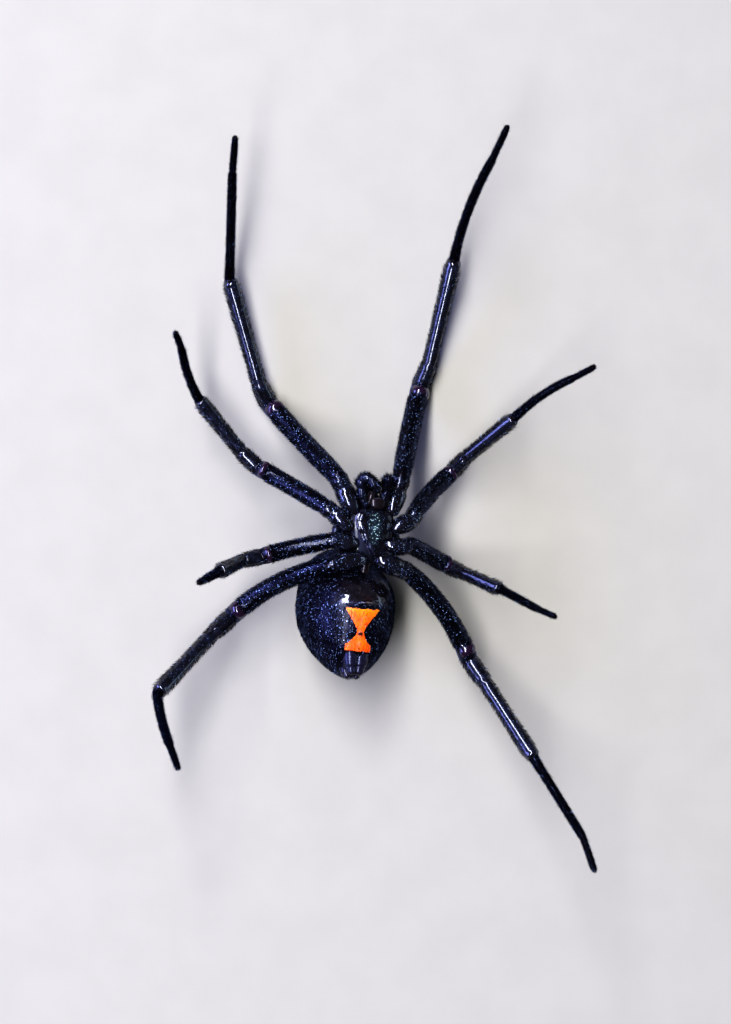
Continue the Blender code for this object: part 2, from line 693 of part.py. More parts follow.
def build_chelicera(side, body, collection, cutters):
    """One jaw, with its fang folded in towards the other."""
    mirror = Matrix.Diagonal((1.0 if side == "left" else -1.0, 1.0, 1.0))
    foot = mirror @ CHELICERA_AT
    tip = foot + mirror @ CHELICERA_LEAN + AXIS_Z * CHELICERA_LENGTH
    points = [foot.lerp(tip, share) for share, _ in CHELICERA_PROFILE]
    radii = [CHELICERA_RADIUS * width for _, width in CHELICERA_PROFILE]
    mesh = tube_mesh("chelicera_" + side, points, radii, TUBE_ROUNDNESS)
    node = new_node("chelicera_" + side, mesh, "jaw_brown", body, collection)
    root = tip - AXIS_Z * FANG_ROOT
    fang_points = [root + mirror @ (Vector(step) * MM) for step, _ in FANG_PROFILE]
    fang_radii = [FANG_RADIUS * width for _, width in FANG_PROFILE]
    fang = tube_mesh("fang_piece", fang_points, fang_radii, FINE_TUBE_ROUNDNESS)
    combine(node, [fang], "UNION", cutters)
    return node


def recentre(nodes):
    """Parents every node to one empty, which sets the middle of the whole on the origin."""
    bpy.context.view_layer.update()
    corners = []
    for node in nodes:
        corners.extend(node.matrix_world @ vertex.co for vertex in node.data.vertices)
    middle_x = 0.5 * (min(p.x for p in corners) + max(p.x for p in corners))
    middle_y = 0.5 * (min(p.y for p in corners) + max(p.y for p in corners))
    root = bpy.data.objects.new("spider_root", None)
    bpy.context.scene.collection.objects.link(root)
    for node in nodes:
        node.parent = root
    root.location = (-middle_x, -middle_y, 0.0)


def build_spider():
    clear_scene()
    collection = make_collection("black_widow_spider")
    cutters = make_collection("cutters")
    body = frame_matrix(BODY_AT, BODY_TURN, BODY_ROLL)
    nodes = [build_cephalothorax(body, collection, cutters)]
    nodes += build_eyes(body, collection)
    nodes.append(build_abdomen(collection))
    nodes.append(build_pedicel(body, nodes[0], nodes[-1], collection))
    nodes.append(build_spinnerets(nodes[-2], collection, cutters))
    for side in ("right", "left"):
        nodes.append(build_palp(side, body, collection, cutters))
        nodes.append(build_chelicera(side, body, collection, cutters))
        for pair in SEGMENT_LENGTHS:
            nodes.append(build_leg(side, pair, body, collection))
    recentre(nodes)


build_spider()
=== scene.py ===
"""Looks of a life-size black widow spider that lies on its back with its legs spread.

Everything is placed in the frame of the packed model: +Z out of the belly, +Y towards
the head, +X towards the spider's left side. Lengths are in metres, and MM turns a size
read in millimetres into metres. Each piece of the body is one closed skin whose root is
sunk into what it grows from, so that no seam shows, and the hairs stand on the skins.
"""

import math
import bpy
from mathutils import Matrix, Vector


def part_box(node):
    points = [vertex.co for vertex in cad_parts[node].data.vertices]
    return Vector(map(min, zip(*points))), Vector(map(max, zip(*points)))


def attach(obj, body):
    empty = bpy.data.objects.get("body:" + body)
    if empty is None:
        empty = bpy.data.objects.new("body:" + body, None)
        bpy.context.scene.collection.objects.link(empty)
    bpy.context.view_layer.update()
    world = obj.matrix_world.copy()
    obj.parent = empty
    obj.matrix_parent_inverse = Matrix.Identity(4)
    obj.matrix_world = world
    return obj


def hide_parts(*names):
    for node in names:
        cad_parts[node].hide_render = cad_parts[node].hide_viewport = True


bl_info = {
    "name": "Black Widow Spider",
    "version": (1, 0, 0),
    "blender": (4, 5, 0),
    "location": "3D View > Sidebar > Spider",
    "description": "Builds the skins, hairs, eyes and stage of a life-size spider",
    "category": "Add Mesh",
}

import bmesh
import bpy
import numpy as np
from mathutils import Matrix, Vector, noise

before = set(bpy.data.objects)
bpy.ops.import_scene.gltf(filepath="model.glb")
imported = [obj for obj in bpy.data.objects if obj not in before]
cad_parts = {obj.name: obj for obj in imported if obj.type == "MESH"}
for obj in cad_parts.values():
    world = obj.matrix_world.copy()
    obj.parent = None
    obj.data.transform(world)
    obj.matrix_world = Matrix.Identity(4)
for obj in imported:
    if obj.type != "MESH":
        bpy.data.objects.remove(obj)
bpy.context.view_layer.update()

MM = 0.001
AXIS_X = Vector((1.0, 0.0, 0.0))
AXIS_Y = Vector((0.0, 1.0, 0.0))
AXIS_Z = Vector((0.0, 0.0, 1.0))
ROOT = "root"

# The body frame, in mm and degrees: its origin is in the middle of the sternum.
BODY_AT = Vector((0.212, -1.866, 4.9))
BODY_TURN = -2.0
BODY_ROLL = 9.0

# The abdomen's frame and its half sizes, in mm and degrees.
ABDOMEN_AT = Vector((-0.848, -5.926, 2.94))
ABDOMEN_TURN = -5.0
ABDOMEN_ROLL = 13.0
ABDOMEN_FRONT = 3.15
ABDOMEN_REAR = 3.85
ABDOMEN_HALF_WIDTH = 2.63
ABDOMEN_BELLY = 2.95
ABDOMEN_BACK = 3.05
ABDOMEN_FRONT_BLUNTNESS = 2.25
ABDOMEN_REAR_BLUNTNESS = 2.1
ABDOMEN_REAR_POINT = 0.68
ABDOMEN_BREAST_POINT = 0.75
ABDOMEN_FRONT_DROP = 1.15
ABDOMEN_REAR_LIFT = 1.15

# The belly's middle line bows to one side, because the animal lies a little rolled.
MIDLINE_AT = -0.24
MIDLINE_BOW = 0.06
MIDLINE_BOW_AT = -1.1

# The hourglass in the abdomen's frame, in mm: front edge, waist and rear edge,
# each one's place and half width, and the dot behind the waist.
HOURGLASS_FRONT = 0.0
HOURGLASS_WAIST = -1.22
HOURGLASS_REAR = -2.25
HOURGLASS_FRONT_HALF = 0.97
HOURGLASS_WAIST_HALF = 0.20
HOURGLASS_REAR_HALF = 0.74
HOURGLASS_DOT_AT = -1.33

# The furrow across the belly, the genital plate in front of it and the two lung plates.
FURROW_AT = 0.16
FURROW_HALF_SPAN = 1.25
GENITAL_PLATE_AT = 0.55
GENITAL_PLATE_SIDE = 0.13
LUNG_PLATE_SIDE = 1.08
LUNG_PLATE_AT = 0.98
LUNG_PLATE_SIZE = (0.66, 0.52)
LUNG_PLATE_TILT = 0.12

# Swellings and dents of the belly in mm: height, place across and along, and half size
# across and along.
BELLY_SWELLINGS = (
    (0.17, GENITAL_PLATE_SIDE, GENITAL_PLATE_AT, 0.50, 0.34),
    (-0.20, GENITAL_PLATE_SIDE, GENITAL_PLATE_AT + 0.06, 0.36, 0.13),
    (0.09, 0.44, 1.62, 0.28, 0.36),
    (0.09, -0.24, 1.62, 0.28, 0.36),
)

# Pairs of spinnerets in the abdomen's frame, in mm: place across, then root and tip along
# and up, and radius. Their middle lies a little aside, and the tips lean in to it. Rings
# on them and on the waist are as high as a share of the radius, and follow at a pace.
SPINNERETS = (
    (0.33, (-2.30, 2.10), (-3.62, 2.22), 0.44),
    (0.42, (-3.10, 1.55), (-3.80, 1.90), 0.28),
    (0.09, (-3.10, 1.85), (-3.60, 2.12), 0.10),
    (0.03, (-3.25, 1.30), (-3.78, 1.52), 0.16),
)
SPINNERET_MIDDLE = -0.10
SPINNERET_LEAN_IN = 0.55
SPINNERET_RINGS = (0.008, 1.6)
WAIST_RINGS = (0.03, 1.3)
SPINNERET_PROFILE = ((0.0, 1.0), (0.30, 1.02), (0.55, 0.90), (0.62, 0.74), (0.85, 0.60), (0.97, 0.34))
SPINNERET_COLLAR = (
    ((SPINNERET_MIDDLE, -2.45, 1.35), 0.40),
    ((SPINNERET_MIDDLE, -2.80, 1.62), 0.60),
    ((SPINNERET_MIDDLE, -3.05, 1.82), 0.64),
    ((SPINNERET_MIDDLE, -3.22, 1.96), 0.56),
    ((SPINNERET_MIDDLE, -3.30, 2.02), 0.40),
)

# Dimples on the abdomen's back: place along and across, in mm.
DIMPLES = ((1.5, 0.55), (0.5, 0.75), (-0.6, 0.70), (-1.6, 0.50))

# The carapace in the body frame, in mm.
CARAPACE_BACK = -1.30
CARAPACE_FRONT = 2.55
CARAPACE_WIDEST = -0.05
CARAPACE_FRONT_BLUNTNESS = 3.4
CARAPACE_BACK_BLUNTNESS = 2.2
CARAPACE_RIM = -0.85
THORAX_HALF_WIDTH = 1.90
HEAD_HALF_WIDTH = 0.86
THORAX_DEPTH = 0.88
HEAD_DEPTH = 1.18
HEAD_NARROWS = (0.05, 0.62)
HEAD_DEEPENS = (-0.10, 0.50)

# The dimple in the carapace's back, where its grooves start, in mm.
FOVEA_AT = -0.10
FOVEA_SIZE = (0.34, 0.36)
FOVEA_DEPTH = 0.20
GROOVES_ALL_ROUND = 7.0
GROOVE_DEPTH = 0.055

# The mouth in the body frame, a little to the left of the shield's middle: places and half
# sizes in mm, and for the jaws and fangs the left one's knots with the radius there.
MOUTH_SIDE = 0.20
LABIUM = ((MOUTH_SIDE, 1.60, 0.30), (0.43, 0.32, 0.20))
JAW_PLATE_OUT = 0.42
JAW_PLATE_AT = (1.84, 0.20)
JAW_PLATE_HALF = (0.20, 0.42, 0.22)
JAW_PLATE_TURN = 20.0
JAW_KNOTS = (
    ((0.36, 2.30, -1.05), 0.16),
    ((0.34, 2.46, -0.85), 0.25),
    ((0.33, 2.58, -0.60), 0.27),
    ((0.31, 2.61, -0.20), 0.25),
    ((0.29, 2.63, 0.08), 0.19),
    ((0.28, 2.64, 0.20), 0.10),
)
FANG_KNOTS = (
    ((0.28, 2.60, 0.10), 0.075),
    ((0.24, 2.51, 0.20), 0.06),
    ((0.17, 2.41, 0.24), 0.042),
    ((0.08, 2.32, 0.20), 0.01),
)

# The soft skin between the carapace and the shield: place and half sizes in mm.
SIDE_SKIN = ((0.0, -0.02, -0.35), (1.30, 1.62, 0.64))

# The sternum, the shield between the hips, in mm.
STERNUM_TOP = 0.28
STERNUM_CROWN = 0.26
STERNUM_DEPTH = 0.30
STERNUM_LENGTH = 2.5
STERNUM_FRONT = 1.22
STERNUM_HALF_WIDTH = 1.06
STERNUM_FRONT_HALF_WIDTH = 0.86
STERNUM_BRIM = 1.04
STERNUM_CORNER = 0.06
STERNUM_WIDEST = 0.22
STERNUM_TAPER = 1.35
STERNUM_NOTCHES = 3.6
STERNUM_NOTCH_DEPTH = 0.045

# Lobes along both edges of the shield: place along it, half length and height, in mm.
STERNUM_LOBES = (
    (0.92, 0.28, 0.10),
    (0.22, 0.20, 0.06),
    (-0.35, 0.17, 0.06),
    (-0.85, 0.14, 0.05),
)

# Each leg segment's length in mm from hip to tip, one row for each pair of legs.
SEGMENT_LENGTHS = {
    1: (1.25, 0.68, 6.90, 1.36, 5.98, 7.08, 2.35),
    2: (1.08, 0.56, 4.55, 1.20, 3.75, 4.50, 1.60),
    3: (0.82, 0.44, 3.90, 1.00, 2.70, 3.30, 1.35),
    4: (1.20, 0.62, 6.42, 1.50, 5.02, 6.10, 2.15),
}
LEG_THICKNESS = {1: 1.0, 2: 0.90, 3: 0.86, 4: 0.97}
HIP_SEATS = {1: (1.12, 1.28), 2: (1.38, 0.33), 3: (1.02, -0.59), 4: (0.56, -1.42)}

# Radius in mm at shares of each segment's length: tight at the joints, full before them.
SEGMENT_RADII = {
    "coxa": ((0.0, 0.40), (0.12, 0.48), (0.40, 0.54), (0.70, 0.55), (0.90, 0.53), (0.99, 0.46)),
    "trochanter": ((0.10, 0.47), (0.30, 0.50), (0.65, 0.50), (0.88, 0.48), (0.99, 0.43)),
    "femur": (
        (0.01, 0.42), (0.05, 0.46), (0.15, 0.48), (0.40, 0.48), (0.65, 0.48),
        (0.84, 0.50), (0.93, 0.53), (0.97, 0.52), (0.995, 0.46),
    ),
    "patella": ((0.02, 0.44), (0.12, 0.47), (0.35, 0.47), (0.60, 0.45), (0.90, 0.43), (0.99, 0.38)),
    "tibia": (
        (0.01, 0.36), (0.06, 0.385), (0.20, 0.37), (0.50, 0.385),
        (0.78, 0.42), (0.92, 0.455), (0.965, 0.44), (0.995, 0.31),
    ),
    "metatarsus": (
        (0.01, 0.27), (0.04, 0.25), (0.12, 0.23), (0.50, 0.22),
        (0.93, 0.215), (0.98, 0.205), (0.998, 0.17),
    ),
    "tarsus": ((0.02, 0.155), (0.10, 0.17), (0.60, 0.165), (0.88, 0.155), (0.96, 0.13), (1.0, 0.08)),
}

# Bulbs under a leg: place along it, where each segment counts as 1, half length in the
# same count, and height in mm. The fine rings of the hip rise and fade in that count too.
KNEE_BULB_AT = 2.895
BULBS = ((KNEE_BULB_AT, 0.048, 0.18), (4.965, 0.026, 0.07))
HIP_RINGS_RISE = (0.72, 0.95)
HIP_RINGS_FADE = (1.85, 2.1)
HIP_RINGS_A_SEGMENT = 4.0
HIP_RING_HEIGHT = 0.022

# Heading (from +X towards +Y) and rise of each segment in degrees, hip to tip.
# A rise of FLOOR slopes the femur down until its knee rests on the floor.
FLOOR = None
KNEE_REST = 0.36
LEG_POSE = {
    ("right", 1): ((114, -6), (120, 13), (126, FLOOR), (121, 26), (107, 6), (96, 39), (93, 40)),
    ("right", 2): ((136, -8), (144, -8), (147, -31), (137, -4), (130, 6), (119, 48), (124, 53)),
    ("right", 3): ((170, 5), (180, 1), (193, -9), (191, 9), (199, 50), (196, 68), (198, 63)),
    ("right", 4): ((187, 8), (199, 8), (210, -28), (219, 25), (223, 24), (266, 66), (279, 56)),
    ("left", 1): ((72, -12), (74, 15), (69, FLOOR), (72, 23), (79, 13), (78, 42), (74, 43)),
    ("left", 2): ((25, -12), (61, -15), (39, -42), (53, 39), (43, 30), (39, 42), (33, 49)),
    ("left", 3): ((-12, -12), (23, -15), (-24, -41), (-28, 51), (-27, 39), (-36, 59), (-28, 47)),
    ("left", 4): ((-23, -12), (-22, -15), (-52, -17), (-57, 19), (-60, 19), (-67, 44), (-78, 33)),
}
FEMUR_BOW_DOWN = 0.22
FEMUR_BOW_OUT = {1: 0.0, 2: 0.05, 3: 0.05, 4: 0.42}
METATARSUS_BOW = {("left", 1): 0.24, ("left", 2): 0.18, ("right", 2): -0.13, ("right", 4): 0.10}
LEG_STEP = 0.065
LEG_SIDES = 24
LEG_ROOT_SUNK = 0.45

# Palps: points along each one in the body frame, with the radius there, in mm.
PALP_PATHS = {
    "right": (
        ((-0.38, 1.30, 0.00), 0.17),
        ((-0.54, 1.60, 0.24), 0.22),
        ((-0.72, 1.94, 0.32), 0.24),
        ((-0.80, 2.38, 0.40), 0.25),
        ((-0.88, 2.72, 0.47), 0.28),
        ((-0.76, 2.94, 0.64), 0.29),
        ((-0.50, 2.92, 0.80), 0.28),
        ((-0.26, 2.62, 0.94), 0.26),
        ((-0.08, 2.34, 0.95), 0.20),
        ((0.02, 2.18, 0.93), 0.08),
    ),
    "left": (
        ((0.40, 1.30, 0.00), 0.17),
        ((0.53, 1.66, 0.20), 0.22),
        ((0.61, 2.02, 0.24), 0.24),
        ((0.67, 2.38, 0.32), 0.25),
        ((0.60, 2.68, 0.62), 0.28),
        ((0.46, 2.84, 1.00), 0.29),
        ((0.37, 2.92, 1.32), 0.26),
        ((0.33, 2.96, 1.54), 0.20),
        ((0.31, 2.98, 1.68), 0.08),
    ),
}

# Where along a palp its joints narrow it, as shares of its length, and how deep and wide.
PALP_JOINTS = (0.22, 0.42, 0.56, 0.74)
PALP_PINCH = (0.16, 0.018)

# A claw's knots ahead of the leg's tip and down from it, with the radius, and each claw's
# place across and size, in mm.
CLAW_HOOK = ((-0.06, 0.0, 0.016), (0.04, -0.005, 0.014), (0.10, 0.02, 0.010), (0.13, 0.06, 0.003))
CLAWS = ((-0.035, 1.0), (0.035, 1.0), (0.0, 0.6))

# Eight eyes in two rows, as the packed model names them.
EYE_NAMES = [
    "eye_" + row + "_" + rank + "_" + side
    for row in ("front", "back")
    for rank in ("median", "lateral")
    for side in ("left", "right")
]

# Strip lights: setting with the power, direction, then distance, width and length in
# metres, and colour.
LIGHTS = (
    ("key_power", (-0.38, 0.18, 0.90), 0.34, 0.06, 0.50, (0.95, 0.97, 1.0)),
    ("left_power", (-1.0, 0.1, 0.36), 0.38, 0.14, 0.44, (0.42, 0.46, 1.0)),
    ("right_power", (1.0, 0.1, 0.2), 0.40, 0.10, 0.30, (0.72, 0.92, 1.0)),
)

# The map on every skin that holds the place around it and along it.
SKIN_UV = "Along"

# Hairs: how far their lie strays, how deep they are set in mm, each one's patch on the
# bake map, and how long they are along a leg, where each segment counts as 1.
HAIR_MESS = 0.35
HAIR_SUNK = 0.012
BAKE_PATCH = 0.003
LEG_HAIR_LENGTHS = ((0.0, 1.6, 2.2, 4.9, 5.2, 7.0), (0.6, 0.7, 1.0, 1.1, 0.85, 0.75))

# How dense the hairs are along a leg, and how bare its upper face is, in the same count.
LEG_HAIR_SHARES = (
    (0.0, 0.9, 1.2, 2.0, 2.82, 2.85, 2.96, 3.0, 3.9, 4.1, 4.8, 4.93, 4.99, 5.05, 7.0),
    (0.7, 0.7, 0.8, 1.1, 1.1, 0.0, 0.0, 0.9, 0.9, 0.9, 0.9, 0.1, 0.1, 1.2, 1.2),
)
LEG_BARE_SHARES = ((1.8, 2.2, 3.0, 4.9, 5.2), (0.3, 0.72, 0.75, 0.75, 0.2))

# Kinds of hair: radius at the root against the setting, lean off the skin in degrees, and
# bend.
LEG_HAIR = (1.0, (16.0, 55.0), 0.0)
LEG_BRISTLE = (1.5, (30.0, 60.0), 0.25)
BODY_HAIR = (1.0, (13.0, 36.0), 0.0)
PALP_HAIR = (1.0, (20.0, 60.0), 0.0)
PALP_BRISTLE = (1.4, (45.0, 75.0), 0.3)

# Coats: the seed, to which each leg, palp or body piece adds its number, the number of
# hairs, the kind, and the range of lengths in mm. On the legs the settings give the
# number for a mm and a length, which the range is against.
LEG_HAIR_COAT = (10, "hairs_per_leg_mm", LEG_HAIR, (0.7, 1.25))
LEG_BRISTLE_COAT = (40, "bristles_per_leg_mm", LEG_BRISTLE, (1.3, 2.0))
BODY_SEED = 60
ABDOMEN_HAIR_RANGE = (0.12, 0.26)
CARAPACE_COAT = (5000, BODY_HAIR, (0.10, 0.22))
STERNUM_COAT = (1300, BODY_HAIR, (0.10, 0.20))
SPINNERET_COAT = (900, BODY_HAIR, (0.12, 0.28))
PALP_HAIR_COAT = (64, 1800, PALP_HAIR, (0.12, 0.30))
PALP_BRISTLE_COAT = (70, 26, PALP_BRISTLE, (0.35, 0.55))

# The sockets of the hairs: cells across a mm, the distances from a cell's middle between
# which the blue glint painted into the colour there fades, and how far a socket stands
# proud of the cuticle, in metres.
SOCKET_SCALE = 7.0
SOCKET_PAINTED_GLINT = (0.25, 0.10)
SOCKET_DEPTH = 2.3e-5

# How far the fine grain stands proud, in metres.
SHELL_GRAIN = 5e-6
SHIELD_GRAIN = 6e-6
MOUTH_GRAIN = 3e-6

# The picture's frame: its height in the photograph's pixels sets the lens.
PICTURE_HEIGHT_PX = 1024
SENSOR = 36.0


def smooth_step(low, high, value):
    """A smooth rise from 0 at low to 1 at high."""
    share = min(max((value - low) / (high - low), 0.0), 1.0)
    return share * share * (3.0 - 2.0 * share)


def bump(value, width):
    """A rounded bump of height 1 at zero."""
    return math.exp(-((value / width) ** 2))


def frame_matrix(place_mm, turn, roll):
    """Turns mm in a frame rolled about its own Y, then turned about Z, into metres here."""
    rolled = Matrix.Rotation(math.radians(roll), 4, "Y")
    turned = Matrix.Rotation(math.radians(turn), 4, "Z")
    return Matrix.Translation(place_mm * MM) @ turned @ rolled @ Matrix.Scale(MM, 4)


MODEL = Matrix.Scale(MM, 4)
BODY = frame_matrix(BODY_AT, BODY_TURN, BODY_ROLL)
ABDOMEN = frame_matrix(ABDOMEN_AT, ABDOMEN_TURN, ABDOMEN_ROLL)


def direction(heading, rise):
    """The way that a heading and a rise in degrees point."""
    level = math.cos(math.radians(rise))
    angle = math.radians(heading)
    return Vector((level * math.cos(angle), level * math.sin(angle), math.sin(math.radians(rise))))


class Signal:
    """A socket that carries one number at each point of a surface."""

    def __init__(self, finish, socket):
        self.finish = finish
        self.socket = socket

    def math(self, operation, first, second=None):
        values = {0: first}
        if second is not None:
            values[1] = second
        made = self.finish.node("ShaderNodeMath", {"operation": operation}, values)
        return Signal(self.finish, made.outputs[0])

    def __add__(self, other):
        return self.math("ADD", self, other)

    def __radd__(self, other):
        return self.math("ADD", other, self)

    def __sub__(self, other):
        return self.math("SUBTRACT", self, other)

    def __rsub__(self, other):
        return self.math("SUBTRACT", other, self)

    def __mul__(self, other):
        return self.math("MULTIPLY", self, other)

    def __rmul__(self, other):
        return self.math("MULTIPLY", other, self)

    def __truediv__(self, other):
        return self.math("DIVIDE", self, other)

    def __abs__(self):
        return self.math("ABSOLUTE", self)

    def rise(self, low, high):
        """A smooth step from 0 at low to 1 at high; low may be the larger."""
        settings = {"interpolation_type": "SMOOTHSTEP"}
        values = {"Value": self, "From Min": low, "From Max": high}
        made = self.finish.node("ShaderNodeMapRange", settings, values)
        return Signal(self.finish, made.outputs[0])


class Finish:
    """A material's node tree, built up from one Principled shader."""

    def __init__(self, name, **constants):
        self.material = bpy.data.materials.new(name)
        self.material.use_nodes = True
        self.tree = self.material.node_tree
        self.shader = self.tree.nodes["Principled BSDF"]
        self.set(**constants)

    def set(self, **values):
        """Feeds the shader's sockets, which are named with underscores for spaces."""
        for socket, value in values.items():
            self.feed(self.shader.inputs[socket.replace("_", " ")], value)

    def feed(self, socket, value):
        """Links a signal or socket to a socket, or sets a number or a colour on it."""
        if isinstance(value, Signal):
            value = value.socket
        if isinstance(value, bpy.types.NodeSocket):
            self.tree.links.new(value, socket)
        elif socket.type == "RGBA" and len(value) == 3:
            socket.default_value = (*value, 1.0)
        else:
            socket.default_value = value

    def node(self, kind, settings, values):
        """Adds a node: its settings first, then the numbers or links of its sockets."""
        made = self.tree.nodes.new(kind)
        for name, value in settings.items():
            setattr(made, name, value)
        for key, value in values.items():
            self.feed(made.inputs[key], value)
        return made

    def place(self, matrix=MODEL):
        """The point in mm: on the whole model, or in a frame of its own."""
        coordinates = self.node("ShaderNodeTexCoord", {}, {}).outputs["Object"]
        values = {
            "Vector": coordinates,
            "Location": matrix.translation,
            "Rotation": matrix.to_euler(),
            "Scale": matrix.to_scale(),
        }
        return self.node("ShaderNodeMapping", {"vector_type": "TEXTURE"}, values).outputs[0]

    def parts(self, vector):
        split = self.node("ShaderNodeSeparateXYZ", {}, {0: vector})
        return [Signal(self, socket) for socket in split.outputs]

    def uv(self, name):
        """The two numbers of a UV map."""
        return self.parts(self.node("ShaderNodeUVMap", {"uv_map": name}, {}).outputs[0])[:2]

    def value_of(self, name):
        made = self.node("ShaderNodeAttribute", {"attribute_name": name}, {})
        return Signal(self, made.outputs["Fac"])

    def noise(self, place, scale, detail=3.0, distortion=0.0):
        values = {"Vector": place, "Scale": scale, "Detail": detail, "Distortion": distortion}
        return Signal(self, self.node("ShaderNodeTexNoise", {}, values).outputs[0])

    def cells(self, place, scale):
        """Distance to the nearest of many scattered points."""
        values = {"Vector": place, "Scale": scale}
        return Signal(self, self.node("ShaderNodeTexVoronoi", {}, values).outputs["Distance"])

    def mix(self, share, low, high):
        """A colour between two colours."""
        values = {0: share, 6: low, 7: high}
        return self.node("ShaderNodeMix", {"data_type": "RGBA"}, values).outputs[2]

    def layered(self, base, *layers):
        """A colour under layers, each of which is a share and a colour."""
        for share, colour in layers:
            base = self.mix(share, base, colour)
        return base

    def relief(self, height, depth):
        """A bump whose height of 1 stands depth metres proud."""
        values = {"Height": height, "Distance": depth, "Strength": 1.0}
        return self.node("ShaderNodeBump", {}, values).outputs[0]


def add_piece(mesh, name, finish, node_names):
    """Makes a piece's object, which rides on the root and may replace CAD nodes."""
    mesh.shade_smooth()
    mesh.materials.append(finish.material)
    piece = bpy.data.objects.new(name, mesh)
    bpy.context.scene.collection.objects.link(piece)
    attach(piece, ROOT)
    if node_names:
        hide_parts(*node_names)


def to_mesh(bm, name):
    mesh = bpy.data.meshes.new(name)
    bm.to_mesh(mesh)
    bm.free()
    return mesh


def path_frames(centres, radii):
    """A ring's frame at each centre, turned as little as possible from one to the next."""
    frames = []
    side = None
    for index, centre in enumerate(centres):
        ahead = centres[min(index + 1, len(centres) - 1)]
        behind = centres[max(index - 1, 0)]
        tangent = (ahead - behind).normalized()
        guide = side if side is not None else AXIS_Z.lerp(AXIS_X, 0.1)
        side = (guide - tangent * guide.dot(tangent)).normalized()
        turn = Matrix((side, tangent.cross(side), tangent)).transposed().to_4x4()
        frames.append(Matrix.Translation(centre) @ turn @ Matrix.Scale(radii[index], 4))
    return frames


def new_skin():
    """A bmesh with room for each point's place along and around, and the hairs' lie."""
    bm = bmesh.new()
    bm.verts.layers.float.new("along")
    bm.verts.layers.float.new("around")
    bm.verts.layers.float_vector.new("lie")
    return bm


def label_ring(bm, ring, ring_frame, along):
    inverse = ring_frame.inverted()
    tangent = ring_frame.to_3x3().col[2].normalized()
    for corner in ring:
        local = inverse @ corner.co
        corner[bm.verts.layers.float["around"]] = math.atan2(local.y, local.x)
        corner[bm.verts.layers.float["along"]] = along
        corner[bm.verts.layers.float_vector["lie"]] = tangent


def sweep(bm, centres, radii, alongs, sides):
    """Extrudes a ring along the centres, closes both ends and returns the new points."""
    frames = path_frames(centres, radii)
    ring = bmesh.ops.create_circle(bm, segments=sides, radius=1.0, matrix=frames[0])["verts"]
    edges = list({edge for corner in ring for edge in corner.link_edges})
    label_ring(bm, ring, frames[0], alongs[0])
    first = ring
    made = list(ring)
    for before, after, along in zip(frames, frames[1:], alongs[1:]):
        grown = bmesh.ops.extrude_edge_only(bm, edges=edges)["geom"]
        ring = [item for item in grown if isinstance(item, bmesh.types.BMVert)]
        edges = [item for item in grown if isinstance(item, bmesh.types.BMEdge)]
        edges = [edge for edge in edges if edge.is_boundary]
        bmesh.ops.transform(bm, matrix=after @ before.inverted(), verts=ring)
        label_ring(bm, ring, after, along)
        made.extend(ring)
    bmesh.ops.pointmerge(bm, verts=first, merge_co=centres[0])
    bmesh.ops.pointmerge(bm, verts=ring, merge_co=centres[-1])
    return [corner for corner in made if corner.is_valid]


def add_skin(bm, name, finish, node_names):
    """Makes a piece of a skin, kept off the floor, with the map of the place on it."""
    bmesh.ops.recalc_face_normals(bm, faces=bm.faces[:])
    for corner in bm.verts:
        corner.co.z = max(corner.co.z, 0.0)
    uv = bm.loops.layers.uv.new(SKIN_UV)
    along = bm.verts.layers.float["along"]
    around = bm.verts.layers.float["around"]
    for face in bm.faces:
        turns = [loop.vert[around] / (2.0 * math.pi) + 0.5 for loop in face.loops]
        wraps = max(turns) - min(turns) > 0.5
        for loop, turn in zip(face.loops, turns):
            across = turn + 1.0 if wraps and turn < 0.5 else turn
            loop[uv].uv = (across, loop.vert[along])
    add_piece(to_mesh(bm, name), name, finish, node_names)


def add_globe(name, finish, node_names, shape, matrix=BODY, sectors=48, rings=32):
    """Makes a piece of a sphere with poles on Y, moved by a shape function in mm."""
    bm = new_skin()
    upright = Matrix.Rotation(math.radians(-90.0), 4, "X")
    made = bmesh.ops.create_uvsphere(
        bm, u_segments=sectors, v_segments=rings, radius=1.0, matrix=upright
    )
    lie = (matrix.to_3x3() @ -AXIS_Y).normalized()
    for corner in made["verts"]:
        along = min(max(corner.co.y, -1.0), 1.0)
        around = math.atan2(corner.co.z, corner.co.x)
        corner[bm.verts.layers.float["around"]] = around
        corner[bm.verts.layers.float["along"]] = 0.5 + 0.5 * along
        corner[bm.verts.layers.float_vector["lie"]] = lie
        corner.co = matrix @ Vector(shape(along, around))
    bmesh.ops.remove_doubles(bm, verts=bm.verts[:], dist=1e-8)
    add_skin(bm, name, finish, node_names)


def oval(centre, half_sizes, turn=0.0):
    """The shape function of an egg that is a little fuller at its front, in mm."""
    place = Matrix.Translation(centre) @ Matrix.Rotation(math.radians(turn), 4, "Z")

    def shape(along, around):
        width = math.sqrt(max(1.0 - along**4, 0.0)) * (1.0 + 0.16 * along)
        x = half_sizes[0] * width * math.cos(around)
        z = half_sizes[2] * width * math.sin(around)
        return place @ Vector((x, half_sizes[1] * along, z))

    return shape


def smooth_curve(knots, spacing):
    """Evenly spaced points and radii in metres on a smooth curve through knots in mm."""
    places = [Vector(place) for place, _ in knots]
    widths = [radius for _, radius in knots]
    points = []
    radii = []
    last = len(knots) - 1
    for index in range(last):
        before, start = places[max(index - 1, 0)], places[index]
        end, after = places[index + 1], places[min(index + 2, last)]
        steps = max(int((end - start).length / spacing), 1)
        for step in range(steps):
            share = step / steps
            square, cube = share * share, share * share * share
            points.append(
                0.5
                * (
                    2.0 * start
                    + (end - before) * share
                    + (2.0 * before - 5.0 * start + 4.0 * end - after) * square
                    + (3.0 * start - before - 3.0 * end + after) * cube
                )
            )
            radii.append(widths[index] + (widths[index + 1] - widths[index]) * share)
    return points + [places[-1]], radii + [widths[-1]]


